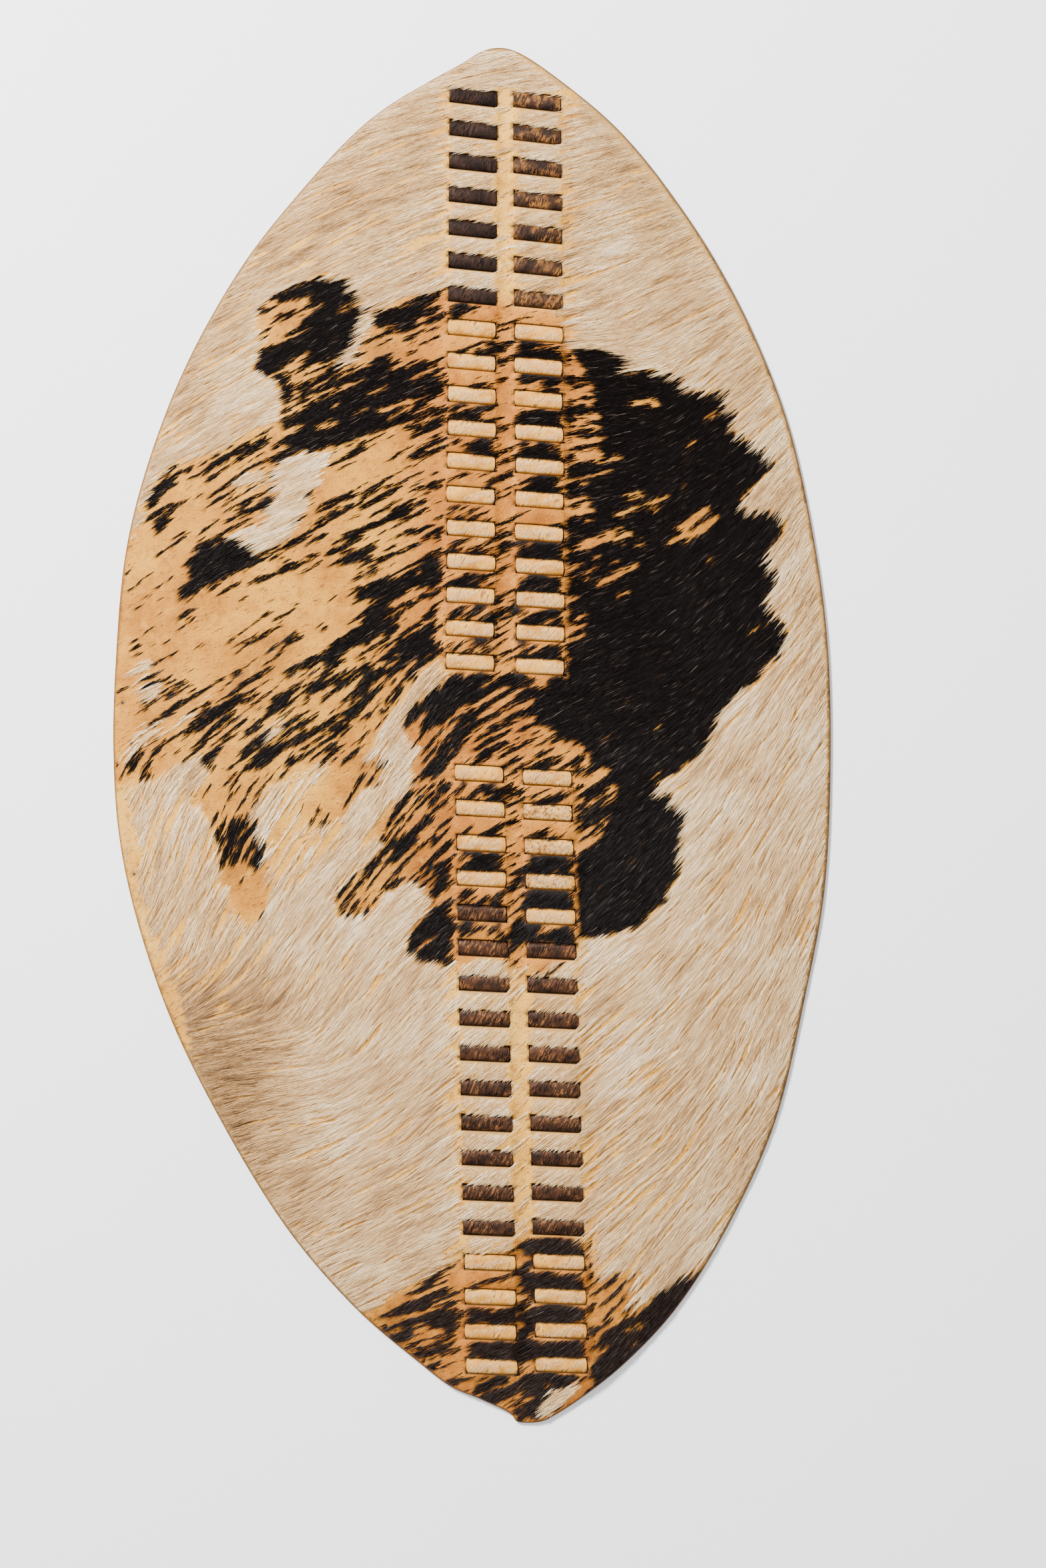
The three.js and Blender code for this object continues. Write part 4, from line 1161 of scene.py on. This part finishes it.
tip_x, tip_y = root_x + length * way_x, root_y + length * way_y
lift = rng.uniform(*HAIR_TIP_LIFT, len(root_x))
lift += LOCK_LIFT * at(lock_lift, root_x, root_y) ** 2
lift *= np.clip(length / HAIR_LENGTH[0], 0.3, 1)
roots = np.column_stack([root_x, root_y, hide_top(root_x, root_y) - ROOT_DEPTH])
tip_z = np.maximum(hide_top(np.clip(tip_x, *rim(tip_y)), tip_y) + lift, roots[:, 2] + 0.2)
# A hair that starts on one side of a bulge is raised at its tip, so that it clears the bulge.
raised = np.zeros(len(root_x))
for share in (0.35, 0.7):
    over = hide_top(root_x + share * length * way_x, root_y + share * length * way_y)
    raised = np.maximum(raised, (over - roots[:, 2]) / share - tip_z + roots[:, 2])
tip_z = tip_z + np.minimum(raised, MOST_RAISED)
tips = np.column_stack([tip_x, tip_y, tip_z])
width = rng.uniform(*HAIR_WIDTH, len(root_x)) * np.where(is_pale, PALE_HAIR_WIDTH_SHARE, 1)
# A lock's tint is its place on its hair's colour ramp. Taupe areas and dark streaks are lower on
# it, pale streaks and the pale islands in the dark field higher. The dark streaks are partly darker
# hair and partly painted shade between locks. The foot's dark hair is browner.
streak = at(hair_streaks, root_x, root_y)
pale_tint = PALE_TINT - TAUPE_DARKENS * at(taupe, root_x, root_y)
# Painted shade: locks along dark streaks are darkened for the shade between locks, besides darker hair.
pale_tint = pale_tint - DARK_STREAKS_AND_LOCK_SHADE * np.clip((streak - 0.6) / 0.4, 0, 1)
pale_tint += PALE_STREAKS * np.clip((0.3 - streak) / 0.3, 0, 1)
pale_tint += ISLANDS_PALER * at(blur(ringed, 6), root_x, root_y)
pale_tint = np.clip(pale_tint + rng.normal(0, 0.05, len(root_x)), 0, 1)
# Grey locks in the black coat, more of them along streaks, are partly grey hairs and partly painted
# sheen.
grey = rng.random(len(root_x)) < 0.02 + 0.06 * (at(hair_streaks, root_x, root_y) > 0.92)
in_foot = root_y < from_photo(FOOT_BELOW)[0, 1]
black_tint = np.where(grey, rng.uniform(0.85, 1.0, len(root_x)), rng.uniform(0, 0.6, len(root_x)))
black_tint = np.where(in_foot & ~grey, rng.uniform(0.5, 0.88, len(root_x)), black_tint)

# The coat is made in five pieces, so that none of them is too large.
in_head = root_y > HEAD_PART_DOWN_TO
coat_parts = [
    ("coat_pale_head", is_pale & in_head),
    ("coat_pale_left", is_pale & ~in_head & (root_x < PALE_PARTS_MEET_AT)),
    ("coat_pale_right", is_pale & ~in_head & (root_x >= PALE_PARTS_MEET_AT)),
    ("coat_black_left", is_black & (root_x < BLACK_PARTS_MEET_AT)),
    ("coat_black_right", is_black & (root_x >= BLACK_PARTS_MEET_AT)),
]
for seed, (name, chosen) in enumerate(coat_parts):
    chosen = chosen & grows
    pale = name.startswith("coat_pale")
    grown = plant(name, roots[chosen], tips[chosen], width[chosen],
                  (pale_tint if pale else black_tint)[chosen],
                  pale_hair if pale else black_hair, seed)
    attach(grown, "root")

# Strips: eight bands of hide with their hair on, 36 to 39 mm wide, threaded down the columns, four
# to a column. Each passes in front of the low band of a window and behind the high band below it,
# and bulges in its window. The dark ones are worn to mottled skin, the pale ones keep some hair.
TAIL_AT_TIPS = 5.5
JOIN_GAP = 1.0
STRIP_ARCH = 1.2
STRIP_ARCH_POWER = 0.6
ARCH_POINTS = 9
STRIP_EDGE_WEAR = 0.5
STRIP_EDGE_WEAR_POWER = 8
SWAY_LENGTH = 17.0
STRIP_SHIFT = 0.4
STRIP_RISE_ANGLE = math.radians(74)
STRIP_EDGE_IN_WINDOW = 0.15
STRIP_EDGE_AT_SLITS = 0.9
ACROSS_POINTS = 13
STRIP_HAIR_SPACING = 1.15
STRIP_HAIR_LENGTH = (3.5, 6.5)
STRIP_HAIR_WIDTH = (0.35, 0.62)
STRIP_HAIR_RISE = (0.0, 0.6)
STRIP_HAIR_OFF_EDGE = 0.8
SHORTEST_STRIP_HAIR = 1.6
STRIP_HAIR_SLOPE = {"strip_dark": 74, "strip_pale": 58, "strip_brown": 70}
# Each strip: its name, how many windows it fills, and how much of it is haired at either end.
STRIPS = {
    "left": (("top_dark", 7, 0.35, 0.0), ("middle_white", 15, 0.5, 0.55),
             ("lower_brown", 10, 0.3, 0.4), ("foot_white", 4, 0.6, 0.3)),
    "right": (("top_dark", 7, 0.35, 0.12), ("middle_white", 16, 0.5, 0.5),
              ("lower_brown", 9, 0.3, 0.45), ("foot_white", 4, 0.5, 0.4)),
}
SLOTS = {"top_dark": "strip_dark", "middle_white": "strip_pale", "lower_brown": "strip_brown",
         "foot_white": "strip_pale"}
# Windows whose pale strip is soiled, or bright with hair, counted down the right column.
SOILED_WINDOWS = {"left": {}, "right": {18: 0.35, 19: 0.9, 20: 0.8, 21: 0.9}}
BRIGHT_WINDOWS = {"left": {}, "right": {22: 0.98}}

slit_inset = STRIP / 2 / math.sin(STRIP_RISE_ANGLE) + CLEARANCE / 2
rise_run = strip_lift / math.tan(STRIP_RISE_ANGLE)


def strip_path(pair):
    """The strips' middle line down a column: column, height, lift, window and edge of a point."""
    upper, lower = pair
    tail = (1 - TAIL_AT_TIPS / RAMP_AT_TIPS) * band_lift - full_lift
    narrow = STRIP_EDGE_AT_SLITS
    path = [(upper, upper.head + TAIL_AT_TIPS, tail, 0, narrow)]
    for p, column in enumerate(pair):
        for k, top in enumerate(column.tops):
            window = p * WINDOWS + k
            first, last = top - slit_inset, top - WINDOW_HEIGHT + slit_inset
            path.append((column, first + rise_run, -strip_lift, window, narrow))
            for share in np.linspace(0, 1, ARCH_POINTS):
                height = first - rise_run + share * (last - first + 2 * rise_run)
                arch = math.sin(math.pi * share) ** STRIP_ARCH_POWER
                edge = narrow + arch * (STRIP_EDGE_IN_WINDOW - narrow)
                path.append((column, height, strip_lift + STRIP_ARCH * arch, window, edge))
            path.append((column, last - rise_run, -strip_lift, window, narrow))
        if p == 0:
            path.append((upper, upper.foot - RAMP_AT_FIELD, -full_lift, WINDOWS - 1, narrow))
            path.append((lower, lower.head + RAMP_AT_FIELD, -full_lift, WINDOWS, narrow))
    path.append((lower, lower.foot - TAIL_AT_TIPS, tail, 2 * WINDOWS - 1, narrow))
    return path


def strip_mesh(path, sway, soiled, material, name):
    """A closed band round the path, with edges rubbed a little lower than its middle."""
    line = np.array([p[1:3] for p in path])
    step = np.diff(line, axis=0)
    step /= np.linalg.norm(step, axis=1, keepdims=True)
    ahead = np.vstack([step[:1], step[1:] + step[:-1], step[-1:]])
    ahead /= np.linalg.norm(ahead, axis=1, keepdims=True)
    out = np.column_stack([ahead[:, 1], -ahead[:, 0]])
    rings = []
    for i, (column, height, lift, _, edge) in enumerate(path):
        half = column.half(height) - edge
        across = np.linspace(-half, half, ACROSS_POINTS)
        worn = STRIP_EDGE_WEAR * np.abs(across / half) ** STRIP_EDGE_WEAR_POWER
        shift = STRIP_SHIFT * math.sin(height / SWAY_LENGTH + sway)
        ring = []
        for face in (1, -1):
            thick = face * (STRIP / 2 - worn)
            x, y = column.at(across + shift, height + out[i, 0] * thick)
            z = HIDE / 2 + crown(x, y) + hide_wave(x, y) + lift + out[i, 1] * thick
            ring.append(np.column_stack([x, y, z])[::face])
        rings.append(np.vstack(ring))
    size = 2 * ACROSS_POINTS
    k = np.arange(size)
    triangles = []
    for i in range(len(path) - 1):
        a, b = i * size + k, i * size + (k + 1) % size
        triangles += [np.column_stack([a, a + size, b]), np.column_stack([b, a + size, b + size])]
    for start, face in ((0, 1), ((len(path) - 1) * size, -1)):
        for j in range(ACROSS_POINTS - 1):
            a, b, c, d = start + j, start + j + 1, start + size - 2 - j, start + size - 1 - j
            cap = np.array([[a, b, c], [a, c, d]])
            triangles.append(cap[:, ::face])
    band = closed_mesh(name, np.vstack(rings), np.vstack(triangles), material)
    band.data.set_sharp_from_angle(angle=math.radians(55))
    chart_attribute(band.data, "soil", np.repeat([soiled.get(p[3], 0.08) for p in path], size))
    chart_attribute(band.data, "flesh", np.tile(k >= ACROSS_POINTS, len(path)))
    return band


def strip_hair(pair, window, slope_degrees):
    """Roots and tips of the short hair on a strip in one window."""
    column = pair[window // WINDOWS]
    top = column.tops[window % WINDOWS]
    first, last = top - slit_inset - rise_run, top - WINDOW_HEIGHT + slit_inset + rise_run
    half = column.half(top) - STRIP_EDGE_IN_WINDOW - STRIP_HAIR_OFF_EDGE
    across, height = np.meshgrid(np.arange(-half, half, STRIP_HAIR_SPACING),
                                 np.arange(last, first, STRIP_HAIR_SPACING))
    across = np.ravel(across + rng.uniform(-0.7, 0.7, across.shape))
    height = np.ravel(height + rng.uniform(-0.7, 0.7, height.shape))
    angle = np.radians(rng.normal(slope_degrees, 9, len(across)))
    length = rng.uniform(*STRIP_HAIR_LENGTH, len(across))
    length = np.minimum(length, (height - last + 0.4) / np.sin(angle))
    length = np.minimum(length, (across + half + 0.6) / np.maximum(np.cos(angle), 0.05))
    ends = []
    for reach, rise in zip((0.0, 1.0), STRIP_HAIR_RISE):
        a = across - reach * length * np.cos(angle)
        h = height - reach * length * np.sin(angle)
        share = np.clip((first - h) / (first - last), 0, 1)
        arch = np.sin(math.pi * share) ** STRIP_ARCH_POWER
        x, y = column.at(a, h)
        worn = STRIP_EDGE_WEAR * np.clip(np.abs(a) / half, 0, 1) ** STRIP_EDGE_WEAR_POWER
        z = HIDE / 2 + crown(x, y) + hide_wave(x, y) + strip_lift + STRIP_ARCH * arch
        ends.append(np.column_stack([x, y, z + STRIP / 2 - worn + rise]))
    return ends[0], ends[1], length > SHORTEST_STRIP_HAIR


def strip_material(name, roughness, gloss, skin_stops, dash_colour, dash_from):
    """Worn hide: mottled skin with dark stubs of hair that lie down the strip, and soiling."""
    material, tree = new_material(name)
    place = add_node(tree, "ShaderNodeTexCoord").outputs["Object"]
    # Patches are 12 mm, a little smaller than the real blotches, and specks of soil 2.2 mm. Single
    # stubs are too fine for this view, so they are drawn in tufts 8 mm long and 1.8 mm wide.
    patches = noise(tree, place, 0.012, 4.0, 0.6)
    skin = ramp(tree, patches, *skin_stops)
    hairs = stub_noise(tree, place, -64, (0.008, 0.0018, 0.004), 0.55)
    worn = add_node(tree, "ShaderNodeMath", {0: hairs, 1: patches}, operation="ADD")
    halved = add_node(tree, "ShaderNodeMath", {0: worn.outputs[0], 1: 0.5}, operation="MULTIPLY")
    cover = ramp(tree, halved.outputs[0], (dash_from, 0.0), (dash_from + 0.03, 0.85))
    colour = blend(tree, cover, skin, linear(dash_colour))
    specks = ramp(tree, noise(tree, place, 0.0022, 2.0), (0.44, 0.0), (0.6, 0.9))
    dirty = add_node(tree, "ShaderNodeMath", {0: specks, 1: charted(tree, "soil")},
                     operation="MULTIPLY")
    colour = blend(tree, dirty.outputs[0], colour, linear("#4b3522"))
    # The back of a strip is its scraped flesh side.
    colour = blend(tree, charted(tree, "flesh"), colour, linear("#a98752"))
    bump = add_node(tree, "ShaderNodeBump", {
        "Height": hairs, "Strength": 0.5, "Distance": 0.0008})
    surface = add_node(tree, "ShaderNodeBsdfPrincipled", {
        "Base Color": colour, "Roughness": roughness, "IOR": 1.5, "Specular IOR Level": gloss,
        "Normal": bump.outputs[0]})
    add_node(tree, "ShaderNodeOutputMaterial", {"Surface": surface.outputs[0]})
    return material


# Bald dark hide is nearly black with a dull sheen, and tan mottled hide shows its skin. Pale hide
# is warm and matte, and brown hide shines a little where its hair is rubbed.
strip_finish = {
    ("left", "top_dark"): strip_material("dark_bald_hide_strip", 0.5, 0.07, (
        (0.35, "#130b08"), (0.5, "#20140f"), (0.66, "#36241b")), "#0b0605", 0.56),
    ("right", "top_dark"): strip_material("tan_mottled_hide_strip", 0.5, 0.12, (
        (0.38, "#1d1009"), (0.49, "#3a2312"), (0.61, "#845629")), "#120904", 0.54),
    "strip_pale": strip_material("pale_hide_strip", 0.55, 0.15, (
        (0.35, "#ad6e22"), (0.5, "#cb8c36"), (0.66, "#daa14c")), "#7f4f20", 0.58),
    "strip_brown": strip_material("brown_glossy_hide_strip", 0.42, 0.15, (
        (0.35, "#23140b"), (0.49, "#452815"), (0.62, "#84552f")), "#0e0604", 0.505),
}

hair_on_strips = {"hair_pale": [], "hair_black": []}
for sway, (side_name, strips) in enumerate(STRIPS.items()):
    path = strip_path(columns[side_name])
    window = 0
    for number, (part, windows, hair_at_head, hair_at_foot) in enumerate(strips):
        slot = SLOTS[part]
        own = [p for p in path if window <= p[3] < window + windows]
        if number > 0:
            above = [p for p in path if p[3] == window - 1][-1]
            cut = (above[1] + own[0][1] - JOIN_GAP) / 2
            own.insert(0, (own[0][0], cut) + own[0][2:])
        for k in range(window, window + windows):
            root, tip, long_enough = strip_hair(columns[side_name], k, STRIP_HAIR_SLOPE[slot])
            cover = np.interp(k, [window, window + windows - 1], [hair_at_head, hair_at_foot])
            cover = BRIGHT_WINDOWS[side_name].get(k, cover)
            haired = at(broad_streaks, *(root[:, :2] * [0.6, 1.0]).T) < cover
            tuft = haired & long_enough
            hair_slot = "hair_pale" if slot == "strip_pale" else "hair_black"
            brown = 0.6 if slot == "strip_brown" else 0.35
            tint = (rng.uniform(0.5, 0.86, len(root)) if hair_slot == "hair_pale"
                    else rng.uniform(0.1, brown + 0.3, len(root)))
            hair_on_strips[hair_slot].append((root[tuft], tip[tuft], tint[tuft]))
        window += windows
        if number < len(strips) - 1:
            below = [p for p in path if p[3] == window][0]
            cut = (own[-1][1] + below[1] + JOIN_GAP) / 2
            own.append((own[-1][0], cut) + own[-1][2:])
        node = f"strip_{side_name}_{part}"
        finish = strip_finish.get((side_name, part)) or strip_finish[slot]
        band = strip_mesh(own, 2.0 * sway, SOILED_WINDOWS[side_name], finish, "hide_" + node)
        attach(band, "root")
        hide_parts(node)

for hair_slot, tufts in hair_on_strips.items():
    root, tip, tint = (np.concatenate(values) for values in zip(*tufts))
    grown = plant("strip_" + hair_slot, root, tip, rng.uniform(*STRIP_HAIR_WIDTH, len(root)), tint,
                  pale_hair if hair_slot == "hair_pale" else black_hair, 41)
    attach(grown, "root")
